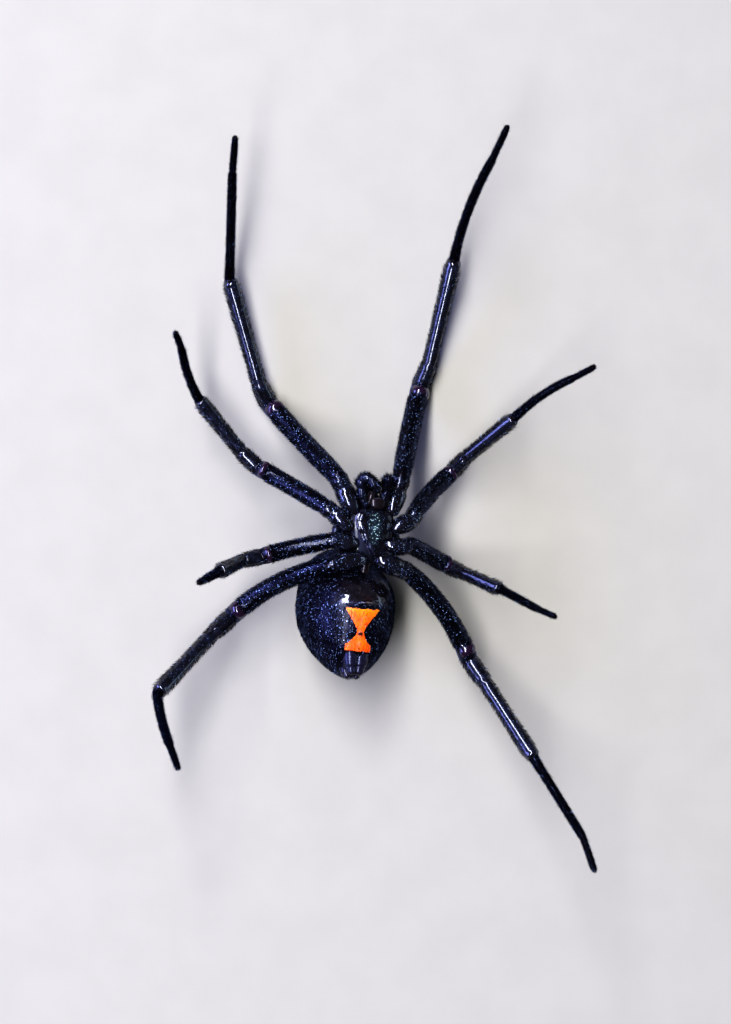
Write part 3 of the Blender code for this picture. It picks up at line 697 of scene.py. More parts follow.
def ringed(height, pace):
    """A swell for add_tubes that rings a tube, a step of the sweep at a time."""
    return lambda step, _share: 1.0 + height * math.cos(step * pace)


def pinched(_step, share):
    """A swell for add_tubes that narrows a palp at its joints."""
    depth, width = PALP_PINCH
    return math.prod(1.0 - depth * bump(share - joint, width) for joint in PALP_JOINTS)


def add_tubes(
    name, finish, node_names, tubes, spacing, sides, matrix=BODY, swell=ringed(0.0, 0.0)
):
    """Makes a piece of tubes swept through knots in mm; swell scales their radius."""
    bm = new_skin()
    for knots in tubes:
        points, radii = smooth_curve(knots, spacing)
        shares = [step / (len(points) - 1) for step in range(len(points))]
        radii = [radius * swell(step, shares[step]) * MM for step, radius in enumerate(radii)]
        sweep(bm, [matrix @ point for point in points], radii, shares, sides)
    add_skin(bm, name, finish, node_names)


def relax(values, passes):
    """Evens out a row of numbers or vectors, keeping its two ends."""
    for _ in range(passes):
        middle = [
            (before + here + here + after) * 0.25
            for before, here, after in zip(values, values[1:], values[2:])
        ]
        values = [values[0]] + middle + [values[-1]]
    return values


def leg_joints(side, pair):
    """The joints of one leg in mm, from its hip to its tip."""
    sign = 1.0 if side == "left" else -1.0
    seat_x, seat_y = HIP_SEATS[pair]
    joints = [(BODY @ Vector((sign * seat_x, seat_y, 0.0))) / MM]
    for length, (heading, rise) in zip(SEGMENT_LENGTHS[pair], LEG_POSE[side, pair]):
        if rise is FLOOR:
            rise = math.degrees(math.asin((KNEE_REST - joints[-1].z) / length))
        joints.append(joints[-1] + direction(heading, rise) * length)
    return joints


def leg_path(side, pair):
    """Centres in metres, radii and places along a leg, where each segment counts as 1."""
    joints = leg_joints(side, pair)
    centres = []
    radii = []
    alongs = []
    thickness = LEG_THICKNESS[pair]
    for number, (segment, start, end) in enumerate(zip(SEGMENT_RADII, joints, joints[1:])):
        bow = Vector((0.0, 0.0, 0.0))
        outward = (end - start).cross(AXIS_Z).normalized() * (1.0 if side == "right" else -1.0)
        if segment == "femur":
            bow = FEMUR_BOW_OUT[pair] * outward - FEMUR_BOW_DOWN * AXIS_Z
        elif segment == "metatarsus":
            bow = METATARSUS_BOW.get((side, pair), 0.0) * outward
        shares, widths = zip(*SEGMENT_RADII[segment])
        steps = max(int(round((end - start).length / LEG_STEP)), 6)
        for step in range(steps):
            share = (step + 0.5) / steps
            centres.append((start.lerp(end, share) + bow * 4.0 * share * (1.0 - share)) * MM)
            radii.append(float(np.interp(share, shares, widths)) * thickness * MM)
            alongs.append(number + share)
    radii = relax(radii, 1)
    centres = relax(centres, 4)
    back = (centres[0] - centres[1]).normalized() * LEG_ROOT_SUNK * MM
    tip = centres[-1] + (centres[-1] - centres[-2]) * 0.5
    centres = [centres[0] + back, centres[0] + back * 0.5] + centres + [tip]
    radii = [0.3 * radii[0], 0.85 * radii[0]] + radii + [0.5 * radii[-1]]
    alongs = [0.0, 0.0] + alongs + [float(len(SEGMENT_RADII))]
    return centres, radii, alongs


def shape_joints(bm, corners):
    """Fine rings round the trochanter, and smooth bulbs under the knee and the tibia's end."""
    along = bm.verts.layers.float["along"]
    around = bm.verts.layers.float["around"]
    for corner in corners:
        place = corner[along]
        belly = max(math.cos(corner[around]), 0.0)
        ringed = smooth_step(*HIP_RINGS_RISE, place) * (1.0 - smooth_step(*HIP_RINGS_FADE, place))
        proud = HIP_RING_HEIGHT * ringed * math.cos(place * 2.0 * math.pi * HIP_RINGS_A_SEGMENT)
        for middle, half, height in BULBS:
            proud += height * bump(place - middle, half) * belly
        corner.co += corner.normal * (proud * MM)


def cuticle(name):
    """The bare finish of dark cuticle: violet sheen under a thin clear layer."""
    tint = (0.46, 0.52, 1.0)
    return Finish(name, IOR=1.45, Specular_Tint=tint, Coat_Roughness=0.08, Coat_IOR=1.5)


def shell_finish(name, dark, sheen, roughness, grain_size, matrix=BODY):
    """Plain dark cuticle with broad patches and a fine pored grain."""
    finish = cuticle(name)
    place = finish.place(matrix)
    broad = finish.noise(place, 0.9, 2.0)
    fine = finish.noise(place, grain_size, 4.0)
    pores = finish.cells(place, grain_size * 0.8)
    finish.set(
        Base_Color=finish.mix(broad.rise(0.35, 0.75), dark, sheen),
        Roughness=roughness + (broad - 0.5) * 0.14 + (fine - 0.5) * 0.22,
        Coat_Weight=0.15 + 0.4 * broad.rise(0.4, 0.7),
        Normal=finish.relief(fine * 0.6 + pores.rise(0.0, 0.45) * 0.4, SHELL_GRAIN),
    )
    return finish


def leg_finish(settings):
    """Black glossy cuticle, red-purple at the bulbs of the knees, dull on the thin ends, with blue
    glints painted at the hairs' sockets.
    """
    finish = cuticle("leg_cuticle_look")
    place = finish.place()
    around, along = finish.uv(SKIN_UV)
    facing = abs(around - 0.5).rise(0.21, 0.12)
    knee = abs(along - KNEE_BULB_AT).rise(0.055, 0.025) * facing
    tibia_bulb = along.rise(4.93, 4.95) * along.rise(5.0, 4.985)
    smooth = (knee + tibia_bulb + along.rise(1.0, 0.9) * 0.5).rise(0.0, 1.0)
    tibia = along.rise(3.0, 3.1) * along.rise(5.0, 4.95)
    thin = along.rise(4.97, 5.03)
    hip = along.rise(2.0, 1.7)
    patches = finish.noise(place, 2.2, 3.0, 0.6)
    grain = finish.noise(place, 14.0, 3.0)
    sockets = finish.cells(place, SOCKET_SCALE)
    # Blue dots painted into the colour at the hairs' sockets are painted glints of light; there the
    # cuticle is also smoother and more coated.
    glints = sockets.rise(*SOCKET_PAINTED_GLINT) * grain.rise(0.42, 0.52)
    glints = glints * (1.0 - thin) * (1.0 - smooth) * (1.0 - tibia * 0.8)
    joints = range(2, len(SEGMENT_RADII))
    membranes = [abs(along - joint).rise(0.022, 0.006) * 0.6 for joint in joints]
    base = finish.layered(
        settings.cuticle_colour,
        (patches.rise(0.40, 0.72), settings.violet_colour),
        (along.rise(1.1, 0.3) * 0.3, settings.hip_colour),
        *((membrane, settings.membrane_colour) for membrane in membranes),
        (knee * 0.8, settings.knee_colour),
        (thin * 0.85, settings.thin_colour),
        (glints, settings.glint_colour),
    )
    rough = settings.gloss_roughness + (patches - 0.5) * 0.16 + (grain - 0.5) * 0.24
    gloss = (0.15 + smooth * 0.7 + tibia * 0.7 + hip * 0.6 + glints * 0.5) * (1.0 - thin)
    dull = (1.0 - glints) * (1.0 - thin) * (1.0 - gloss).rise(0.3, 0.75)
    calm = (1.0 - smooth) * (1.0 - tibia * 0.8) * (1.0 - hip * 0.7) * (1.0 - thin * 0.6)
    finish.set(
        Base_Color=base,
        Roughness=rough - smooth * 0.16 - glints * 0.08 + thin * 0.24,
        Coat_Weight=gloss,
        Metallic=thin * 0.9 + dull * 0.6,
        Normal=finish.relief((grain * 0.2 - sockets * 0.8) * calm, SOCKET_DEPTH),
    )
    return finish


def abdomen_middle(along_y):
    """The belly's middle line, across the abdomen in mm."""
    return MIDLINE_AT + MIDLINE_BOW * (along_y - MIDLINE_BOW_AT) ** 2

def belly_relief(x, y):
    """How far the belly's plates, furrow and folds stand proud at a point, in mm."""
    side = x - abdomen_middle(y)
    curve = FURROW_AT + 0.05 * side * side
    reach = 1.0 - smooth_step(0.35 * FURROW_HALF_SPAN, FURROW_HALF_SPAN, abs(side))
    height = (-0.08 * bump(y - curve, 0.08) + 0.03 * bump(y - curve + 0.2, 0.12)) * reach
    for proud, across, along, half_width, half_length in BELLY_SWELLINGS:
        height += proud * bump(side - across, half_width) * bump(y - along, half_length)
    inward = side - GENITAL_PLATE_SIDE
    lip = y - GENITAL_PLATE_AT + 0.17 + 0.35 * inward * inward
    height += 0.07 * bump(inward, 0.34) * bump(lip, 0.07)
    for sign in (-1.0, 1.0):
        across = (side - sign * LUNG_PLATE_SIDE) / LUNG_PLATE_SIZE[0]
        up = (y - LUNG_PLATE_AT - 0.12 * sign * side) / LUNG_PLATE_SIZE[1]
        away = math.hypot(across, up)
        flat = 0.02 + 0.085 * away * away
        if sign < 0.0:
            flat += LUNG_PLATE_TILT * (side + LUNG_PLATE_SIDE)
        height += flat * (1.0 - smooth_step(0.70, 1.25, away))
    wrinkled = bump(side - 0.1, 0.9) * smooth_step(0.75, 1.05, y) * (1.0 - smooth_step(1.9, 2.4, y))
    if wrinkled > 0.01:
        height += 0.05 * wrinkled * noise.noise(Vector((x * 2.6, y * 2.6, 0.0)))
    return height


def back_relief(x, y):
    """Four pairs of small dimples on the back, where muscles hold inside, in mm."""
    depth = 0.0
    for pair_y, pair_x in DIMPLES:
        for sign in (-1.0, 1.0):
            depth += 0.06 * bump(x - sign * pair_x, 0.13) * bump(y - pair_y, 0.16)
    return depth


def abdomen_shape(coat_depth):
    """The abdomen's shape function, inside the solid by the depth of the coat in mm."""

    def shape(along, around):
        square = along * along
        if along > 0.0:
            length = ABDOMEN_FRONT
            fullness = math.sqrt(max(1.0 - along**ABDOMEN_FRONT_BLUNTNESS, 0.0))
            belly = max(1.0 - square, 0.0) ** ABDOMEN_BREAST_POINT
            centre = -ABDOMEN_FRONT_DROP * square
        else:
            length = ABDOMEN_REAR
            fullness = max(1.0 - abs(along) ** ABDOMEN_REAR_BLUNTNESS, 0.0) ** ABDOMEN_REAR_POINT
            belly = fullness
            centre = ABDOMEN_REAR_LIFT * square
        x = (ABDOMEN_HALF_WIDTH - coat_depth) * fullness * math.cos(around)
        y = (length - coat_depth) * along
        up = math.sin(around)
        if up > 0.0:
            z = centre + (ABDOMEN_BELLY - coat_depth) * belly * up
            z += belly_relief(x, y) * smooth_step(0.25, 0.75, up)
        else:
            z = centre + (ABDOMEN_BACK - coat_depth) * fullness * up
            z += back_relief(x, y) * smooth_step(0.3, 0.7, -up)
        wobble = 0.018 * noise.noise(Vector((x, y, z)) * 1.3)
        return (x * (1.0 + wobble), y, z * (1.0 + wobble))

    return shape


def hourglass_mask(side, y, edge):
    """The mark's mask, and how far ahead of its waist a point is, where its front is 1."""
    off = abs(side) + edge
    ahead = (y - HOURGLASS_WAIST) / (HOURGLASS_FRONT - HOURGLASS_WAIST)
    behind = (HOURGLASS_WAIST - y) / (HOURGLASS_WAIST - HOURGLASS_REAR)
    flare = behind.rise(0.50, 0.72)
    widens = 1.12 * (HOURGLASS_FRONT_HALF - HOURGLASS_WAIST_HALF)
    front_half = HOURGLASS_WAIST_HALF + widens * ahead.rise(-0.05, 1.25)
    front = (front_half - off).rise(-0.012, 0.03) * ahead.rise(-0.02, 0.03)
    front = front * (ahead + edge).rise(1.04, 1.0)
    shoulder = 0.52 * (HOURGLASS_REAR_HALF - HOURGLASS_WAIST_HALF)
    brim = 0.48 * (HOURGLASS_REAR_HALF - HOURGLASS_WAIST_HALF)
    rear_half = HOURGLASS_WAIST_HALF + shoulder * behind.rise(0.0, 0.6) + brim * flare
    rear = (rear_half - off).rise(-0.012, 0.03) * behind.rise(-0.03, 0.02)
    rear = rear * (behind + edge).rise(1.04, 1.0)
    dot = abs(side - 0.02).rise(0.19, 0.07) * abs(y - HOURGLASS_DOT_AT).rise(0.13, 0.04)
    return (front + rear).rise(0.0, 1.0) * (1.0 - dot * 0.9), ahead


def abdomen_finish(settings):
    """Black skin with the orange hourglass, brown plates and a redder furrow on the belly, a pale pink
    lip partly painted as a highlight, and blue glints painted at the hairs' sockets.
    """
    finish = cuticle("abdomen_look")
    place = finish.place(ABDOMEN)
    x, y, z = finish.parts(place)
    edge = finish.noise(place, 5.0, 2.0) * 0.16 + finish.noise(place, 16.0, 2.0) * 0.14 - 0.15
    bow = y - MIDLINE_BOW_AT
    side = x - (bow * bow * MIDLINE_BOW + MIDLINE_AT)
    belly_side = z.rise(0.5, 1.2)
    mark, ahead = hourglass_mask(side, y, edge)
    mark = mark * belly_side
    blotch = finish.noise(place, 4.5, 4.0, 0.4)
    pale = abs(side + (blotch - 0.5) * 0.2).rise(0.17, 0.0) * blotch.rise(0.35, 0.6)
    orange = finish.layered(
        settings.hourglass_colour,
        (blotch.rise(0.3, 0.7), settings.hourglass_deep_colour),
        (pale * 0.6, settings.hourglass_pale_colour),
        (ahead.rise(0.55, 1.0) * 0.8, settings.hourglass_front_colour),
    )
    plates = y.rise(0.15, 0.45) * y.rise(1.9, 1.2) * abs(side).rise(1.85, 1.0) * belly_side
    mottle = finish.noise(place, 3.2, 4.0, 1.2)
    inward = side - GENITAL_PLATE_SIDE
    bowed = y - GENITAL_PLATE_AT + inward * inward * 0.35 + edge * 0.3
    slit = abs(inward).rise(0.34, 0.10) * abs(bowed - 0.02).rise(0.16, 0.02) * belly_side
    # The pale pink painted along the lip behind the slit is partly its own paler colour and partly a
    # painted highlight.
    lip = abs(inward).rise(0.30, 0.05) * abs(bowed + 0.16).rise(0.07, 0.0) * belly_side
    pores = finish.cells(place, SOCKET_SCALE)
    # Blue dots painted into the colour at the hairs' sockets, off the plates and the mark, are painted
    # glints of light; there the skin is also smoother and more coated.
    glints = pores.rise(*SOCKET_PAINTED_GLINT) * mottle.rise(0.35, 0.55) * (1.0 - plates) * (1.0 - mark)
    base = finish.layered(
        settings.skin_colour,
        (mottle.rise(0.38, 0.72), settings.violet_colour),
        (plates * mottle.rise(0.30, 0.75) * 0.85, settings.plate_colour),
        (slit * 0.6, settings.slit_colour),
        (lip * 0.35, settings.lip_colour),
        (mark, orange),
        (glints, settings.glint_colour),
    )
    grain = finish.noise(place, 16.0, 3.0)
    rough = settings.gloss_roughness - 0.15 + mottle * 0.2 + grain * 0.2
    height = (grain * 0.2 - pores * 0.8) * (1.0 - plates * 0.95) * (1.0 - mark * 0.5)
    finish.set(
        Base_Color=base,
        Roughness=rough - plates * 0.17 - glints * 0.08 + mark * 0.14,
        Coat_Weight=0.05 + plates * 0.9 + glints * 0.6 - mark * 0.05,
        Metallic=(1.0 - glints) * (1.0 - plates) * (1.0 - mark) * 0.55,
        Normal=finish.relief(height, SOCKET_DEPTH),
    )
    return finish


def carapace_shape(along, around):
    """Broad thorax, narrow raised head, with a dimple and grooves on its back, in mm."""
    if along > 0.0:
        length = CARAPACE_FRONT - CARAPACE_WIDEST
        roundness = math.sqrt(max(1.0 - along**CARAPACE_FRONT_BLUNTNESS, 0.0))
    else:
        length = CARAPACE_WIDEST - CARAPACE_BACK
        roundness = math.sqrt(max(1.0 - abs(along) ** CARAPACE_BACK_BLUNTNESS, 0.0))
    narrowing = (HEAD_HALF_WIDTH - THORAX_HALF_WIDTH) * smooth_step(*HEAD_NARROWS, along)
    deepening = (HEAD_DEPTH - THORAX_DEPTH) * smooth_step(*HEAD_DEEPENS, along)
    across = (THORAX_HALF_WIDTH + narrowing) * roundness * math.cos(around)
    deep = (THORAX_DEPTH + deepening) * roundness * math.sin(around)
    place = CARAPACE_WIDEST + length * along
    if deep > 0.0:
        return (across, place, CARAPACE_RIM + 0.3 * deep)
    rearward = place - FOVEA_AT
    fovea_away = math.hypot(across / FOVEA_SIZE[0], rearward / FOVEA_SIZE[1])
    deep += FOVEA_DEPTH * math.exp(-fovea_away * fovea_away)
    away = math.hypot(across, rearward)
    reach = smooth_step(0.25, 0.55, away) * (1.0 - smooth_step(1.25, 1.75, away))
    grooves = max(math.cos(math.atan2(across, rearward) * GROOVES_ALL_ROUND), 0.0) ** 6
    deep += GROOVE_DEPTH * grooves * reach
    neck = smooth_step(0.2, 0.4, place) * (1.0 - smooth_step(1.3, 1.7, place))
    deep += 0.045 * bump(abs(across) - (0.18 + 0.42 * (place - 0.1)), 0.08) * neck
    flange = 1.0 + 0.03 * bump(math.sin(around), 0.12)
    return (across * flange, place, CARAPACE_RIM + deep)


def sternum_half_width(share):
    corner = math.sqrt(min(share / STERNUM_CORNER, 1.0))
    if share < STERNUM_WIDEST:
        swell = STERNUM_HALF_WIDTH - STERNUM_FRONT_HALF_WIDTH
        return corner * (STERNUM_FRONT_HALF_WIDTH + swell * smooth_step(0.0, STERNUM_WIDEST, share))
    rearward = (share - STERNUM_WIDEST) / (1.0 - STERNUM_WIDEST)
    return STERNUM_HALF_WIDTH * (1.0 - rearward**STERNUM_TAPER)


def sternum_shape(along, around):
    """The shield: crowned, with a low rim and a notch beside each hip, in mm."""
    share = 0.5 - 0.5 * along
    half = STERNUM_BRIM * sternum_half_width(share)
    across = math.cos(around)
    wave = 0.5 + 0.5 * math.cos(share * 2.0 * math.pi * STERNUM_NOTCHES + 0.6)
    x = half * across * (1.0 - STERNUM_NOTCH_DEPTH * wave * abs(across) ** 3)
    y = STERNUM_FRONT - STERNUM_LENGTH * share
    if math.sin(around) <= 0.0:
        return (x, y, STERNUM_TOP + STERNUM_DEPTH * math.sin(around))
    ends = math.sqrt(max(1.0 - along**6, 0.0))
    crown = STERNUM_CROWN * (1.0 - abs(across) ** 2.4) * ends
    rim = 0.035 * bump(abs(across) - 0.94, 0.05) * ends
    dip = 0.03 * bump(across, 0.22) * bump(along - 0.1, 0.5)
    for place, size, proud in STERNUM_LOBES:
        rim += proud * bump(y - place, size) * bump(abs(across) - 0.72, 0.22)
    return (x, y, STERNUM_TOP + crown + rim - dip)


def sternum_finish(settings):
    """Blue-black shield with a pale violet highlight painted along its rim, and a teal bloom in the
    middle with pale specks painted in it as glints of its hairs.
    """
    finish = cuticle("sternum_look")
    place = finish.place(BODY)
    across, _ = finish.uv(SKIN_UV)
    flat = abs(across - 0.75)
    x, y, _ = finish.parts(place)
    bloom = (x * x * (3.6 - y * 1.6) + (y - 0.25) * (y - 0.25) * 0.5).rise(0.62, 0.0)
    # Pale specks painted in the teal middle are painted glints of its hairs.
    speckle = finish.cells(place, 8.0).rise(0.36, 0.10)
    # A thin pale violet line painted along the shield's rim is a painted highlight.
    rim = flat.rise(0.205, 0.225) * flat.rise(0.25, 0.235)
    base = finish.layered(
        settings.cuticle_colour,
        (bloom * 0.8, settings.bloom_colour),
        ((speckle * bloom * 1.5).rise(0.0, 1.0), settings.speckle_colour),
        (rim * 0.5, settings.rim_colour),
    )
    fine = finish.noise(place, 11.0, 4.0)
    glossy = abs(x).rise(0.30, 0.62) * flat.rise(0.27, 0.25)
    height = (fine + speckle * 0.5) * (1.0 - glossy * 0.85)
    finish.set(
        Base_Color=base,
        Roughness=settings.gloss_roughness - 0.1 + fine * 0.3 - glossy * 0.1,
        Coat_Weight=0.2 + glossy * 0.8,
        Normal=finish.relief(height, SHIELD_GRAIN),
    )
    return finish


def brown_finish(name, settings):
    """Dark brown translucent cuticle of the mouthparts, with a pale violet highlight painted in a band
    near the tips.
    """
    tint = (0.80, 0.72, 1.0)
    finish = Finish(
        name, IOR=1.35, Specular_Tint=tint, Coat_Weight=0.5, Coat_IOR=1.35, Coat_Roughness=0.12
    )
    place = finish.place(BODY)
    _, along = finish.uv(SKIN_UV)
    blotch = finish.noise(place, 4.0, 3.0)
    # A pale violet band painted near each tip is a painted highlight.
    brim = along.rise(0.86, 0.93) * along.rise(0.99, 0.95)
    base = finish.layered(
        settings.brown_colour,
        (blotch.rise(0.3, 0.75), settings.red_brown_colour),
        (brim * 0.6, settings.pale_tip_colour),
    )
    grain = finish.relief(finish.noise(place, 16.0, 3.0), MOUTH_GRAIN)
    finish.set(Base_Color=base, Roughness=0.24 + blotch * 0.2, Normal=grain)
    return finish


def fang_finish(name, settings):
    """Red-black glossy horn of the fangs and claws, streaked with brown."""
    finish = Finish(name, Specular_IOR_Level=0.7, Coat_Weight=0.7, Coat_Roughness=0.08)
    streak = finish.noise(finish.place(), 5.0, 3.0)
    base = finish.mix(streak, settings.fang_colour, settings.brown_colour)
    finish.set(Base_Color=base, Roughness=0.14 + streak * 0.12)
    return finish


def eye_finish(settings):
    """Wet black of the eyes, with a brown depth."""
    finish = Finish("eye_look", Specular_IOR_Level=0.8, Coat_Roughness=0.03)
    depth = finish.noise(finish.place(BODY), 6.0, 2.0)
    base = finish.mix(depth.rise(0.3, 0.7), settings.eye_colour, settings.eye_depth_colour)
    finish.set(Base_Color=base, Roughness=0.05 + depth * 0.05, Coat_Weight=0.8 + depth * 0.2)
    return finish


def hair_finish(name, settings, painted_glint_share):
    """Fine glossy hairs, a share of which are painted pale blue-grey as glints of light."""
    finish = Finish(name, IOR=1.3, Specular_IOR_Level=0.2, Specular_Tint=(0.52, 0.60, 1.0))
    shade = finish.value_of("shade")
    # A share of the hairs is painted pale blue-grey and made unmetallic: painted glints of light on the
    # coat.
    painted_glint_hairs = shade.rise(1.0 - painted_glint_share, 1.0 - 0.5 * painted_glint_share)
    base = finish.mix(painted_glint_hairs, settings.dark_colour, settings.pale_colour)
    finish.set(Base_Color=base, Metallic=0.8 - painted_glint_hairs * 0.8, Roughness=0.30 + shade * 0.15)
    return finish


def hair_template(bend):
    """One hair of unit length: a thin three-sided spike, cut once where it may bend."""
    bm = bmesh.new()
    place = Matrix.Translation((0.0, 0.0, 0.5))
    bmesh.ops.create_cone(
        bm, cap_ends=True, cap_tris=False, segments=3, radius1=1.0, radius2=0.0, depth=1.0, matrix=place
    )
    bmesh.ops.remove_doubles(bm, verts=bm.verts[:], dist=1e-5)
    if bend:
        everything = bm.verts[:] + bm.edges[:] + bm.faces[:]
        bmesh.ops.bisect_plane(bm, geom=everything, plane_co=(0.0, 0.0, 0.5), plane_no=AXIS_Z)
    bmesh.ops.triangulate(bm, faces=bm.faces[:])
    bmesh.ops.recalc_face_normals(bm, faces=bm.faces[:])
    bm.verts.index_update()
    points = np.array([corner.co[:] for corner in bm.verts])
    faces = np.array([[corner.index for corner in face.verts] for face in bm.faces])
    bm.free()
    return points, faces, bend * points[:, 2] ** 2


def rows_of(items, key, width, kind=np.float32):
    """One value of every item of a mesh, as rows of numbers."""
    rows = np.empty(len(items) * width, kind)
    items.foreach_get(key, rows)
    return rows.reshape(-1, width)


def surface_roots(mesh, count, weigh, draw):
    """Random places on a mesh: points, normals, lies and places on the map of hair roots."""
    mesh.calc_loop_triangles()
    corners = rows_of(mesh.loop_triangles, "vertices", 3, np.int32)
    loops = rows_of(mesh.loop_triangles, "loops", 3, np.int32)
    points = rows_of(mesh.vertices, "co", 3)[corners]
    normals = rows_of(mesh.vertices, "normal", 3)[corners]
    lies = rows_of(mesh.attributes["lie"].data, "vector", 3)[corners]
    uvs = rows_of(mesh.uv_layers[SKIN_UV].data, "uv", 2)[loops]
    sides = np.cross(points[:, 1] - points[:, 0], points[:, 2] - points[:, 0])
    areas = 0.5 * np.linalg.norm(sides, axis=1)
    weights = areas * weigh(points.mean(axis=1), uvs.mean(axis=1))
    picked = draw.choice(len(corners), size=count, p=weights / weights.sum())
    shares = draw.random((count, 2))
    folded = shares.sum(axis=1) > 1.0
    shares[folded] = 1.0 - shares[folded]
    mix = np.column_stack((1.0 - shares.sum(axis=1), shares))[:, :, None]
    return [(rows[picked] * mix).sum(axis=1) for rows in (points, normals, lies, uvs)]


def unit(vectors):
    return vectors / np.maximum(np.linalg.norm(vectors, axis=1, keepdims=True), 1e-12)


def even_weight(places, _uvs):
    return np.ones(len(places))


def grow_hairs(name, skin, seed, coat, weigh):
    """A coat of thin spikes that follow the lie of a skin, as one solid mesh."""
    skin_name, finish, slot = skin
    count, (thickness, lean, bend), spread = coat
    skin = bpy.data.objects[skin_name].data
    draw = np.random.default_rng(seed)
    roots, outward, lie, unwrap = surface_roots(skin, count, weigh, draw)
    outward = unit(outward)
    tiles = np.maximum(rows_of(skin.uv_layers[SKIN_UV].data, "uv", 2).max(axis=0), 1.0)
    points, faces, curl = hair_template(bend)
    lie = lie + draw.normal(0.0, HAIR_MESS, (count, 3))
    flat = unit(lie - outward * (lie * outward).sum(axis=1, keepdims=True))
    lift = np.radians(draw.uniform(*lean, count))[:, None]
    up = flat * np.cos(lift) + outward * np.sin(lift)
    over = unit(flat - up * (flat * up).sum(axis=1, keepdims=True))
    axes = np.stack((np.cross(over, up), over, up), axis=1)
    lengths = draw.uniform(*spread, count) * MM
    if tiles[1] > 1.0:
        lengths = lengths * np.interp(unwrap[:, 1], *LEG_HAIR_LENGTHS)
    radii = thickness * bpy.context.scene.spider_coat.hair_radius * draw.uniform(0.75, 1.2, count)
    body = points * np.column_stack((radii, radii, lengths))[:, None, :]
    body[:, :, 1] += curl * lengths[:, None]
    placed = (roots - outward * (HAIR_SUNK * MM))[:, None, :] + body @ axes
    placed[:, :, 2] = np.maximum(placed[:, :, 2], 0.0)
    offsets = (np.arange(count) * len(points))[:, None, None]
    triangles = (faces + offsets).reshape(-1, 3)
    mesh = bpy.data.meshes.new(name)
    mesh.vertices.add(count * len(points))
    mesh.vertices.foreach_set("co", placed.astype(np.float32).ravel())
    mesh.loops.add(len(triangles) * 3)
    mesh.loops.foreach_set("vertex_index", triangles.astype(np.int32).ravel())
    mesh.polygons.add(len(triangles))
    mesh.polygons.foreach_set("loop_start", np.arange(0, len(triangles) * 3, 3, dtype=np.int32))
    mesh.update(calc_edges=True)
    shades = np.repeat(draw.random(count), len(points)).astype(np.float32)
    mesh.attributes.new("shade", "FLOAT", "POINT").data.foreach_set("value", shades)
    spots = (unwrap / tiles)[:, None, :] + BAKE_PATCH * 0.5 * points[:, :2]
    spots = spots.reshape(-1, 2)[triangles.ravel()].astype(np.float32)
    mesh.uv_layers.new(name="OFBake").data.foreach_set("uv", spots.ravel())
    add_piece(mesh, name, finish, ())


def colour_setting(name, description, default):
    return bpy.props.FloatVectorProperty(
        name=name, description=description, default=default, subtype="COLOR", min=0.0, max=1.0
    )


def length_setting(name, description, default_mm):
    default = default_mm * MM
    return bpy.props.FloatProperty(
        name=name, description=description, default=default, unit="LENGTH", precision=6, min=0.0
    )


def power_setting(name, description, default):
    return bpy.props.FloatProperty(
        name=name, description=description, default=default, unit="POWER", min=0.0
    )


def share_setting(name, description, default):
    return bpy.props.FloatProperty(
        name=name, description=description, default=default, subtype="FACTOR", min=0.0, max=1.0
    )


def count_setting(name, description, default):
    return bpy.props.IntProperty(name=name, description=description, default=default, min=0)


class SpiderBodySettings(bpy.types.PropertyGroup):
    """Colours and sizes of the two body halves"""

    skin_colour: colour_setting("Skin", "Black of the abdomen", (0.0050, 0.0042, 0.0060))
    cuticle_colour: colour_setting("Cuticle", "Black of the carapace", (0.0055, 0.0050, 0.0080))
    violet_colour: colour_setting("Violet", "Violet tone in the black", (0.011, 0.010, 0.024))
    plate_colour: colour_setting("Plates", "Brown of the belly's plates", (0.014, 0.008, 0.007))
    slit_colour: colour_setting("Slit", "Red-brown of the genital slit", (0.022, 0.006, 0.005))
    # Partly the lip's own pale pink, partly a painted highlight.
    lip_colour: colour_setting("Lip", "Pale pink of the genital plate's lip, partly a painted highlight", (0.30, 0.22, 0.20))
    bloom_colour: colour_setting("Bloom", "Teal middle of the shield", (0.018, 0.031, 0.038))
    # Painted glints of the shield's hairs.
    speckle_colour: colour_setting("Speckle", "Pale specks painted on the shield as glints of its hairs", (0.56, 0.80, 0.86))
    # A painted highlight along the shield's rim.
    rim_colour: colour_setting("Rim", "Violet highlight painted along the shield's rim", (0.22, 0.18, 0.34))
    # A painted glint at the hairs' sockets.
    glint_colour: colour_setting("Glints", "Blue glint painted at the hairs' sockets", (0.36, 0.50, 0.92))
    hourglass_colour: colour_setting("Mark", "Orange of the mark", (0.86, 0.165, 0.004))
    hourglass_deep_colour: colour_setting("Mark, deep", "Its redder parts", (0.80, 0.090, 0.003))
    hourglass_front_colour: colour_setting("Mark, front", "Its yellower front", (0.90, 0.26, 0.005))
    hourglass_pale_colour: colour_setting("Mark, pale", "Its pinkish middle", (0.86, 0.25, 0.12))
    gloss_roughness: share_setting("Roughness", "Roughness of the skin", 0.30)
    coat_depth: length_setting("Coat depth", "How far the skin lies inside the solid", 0.035)


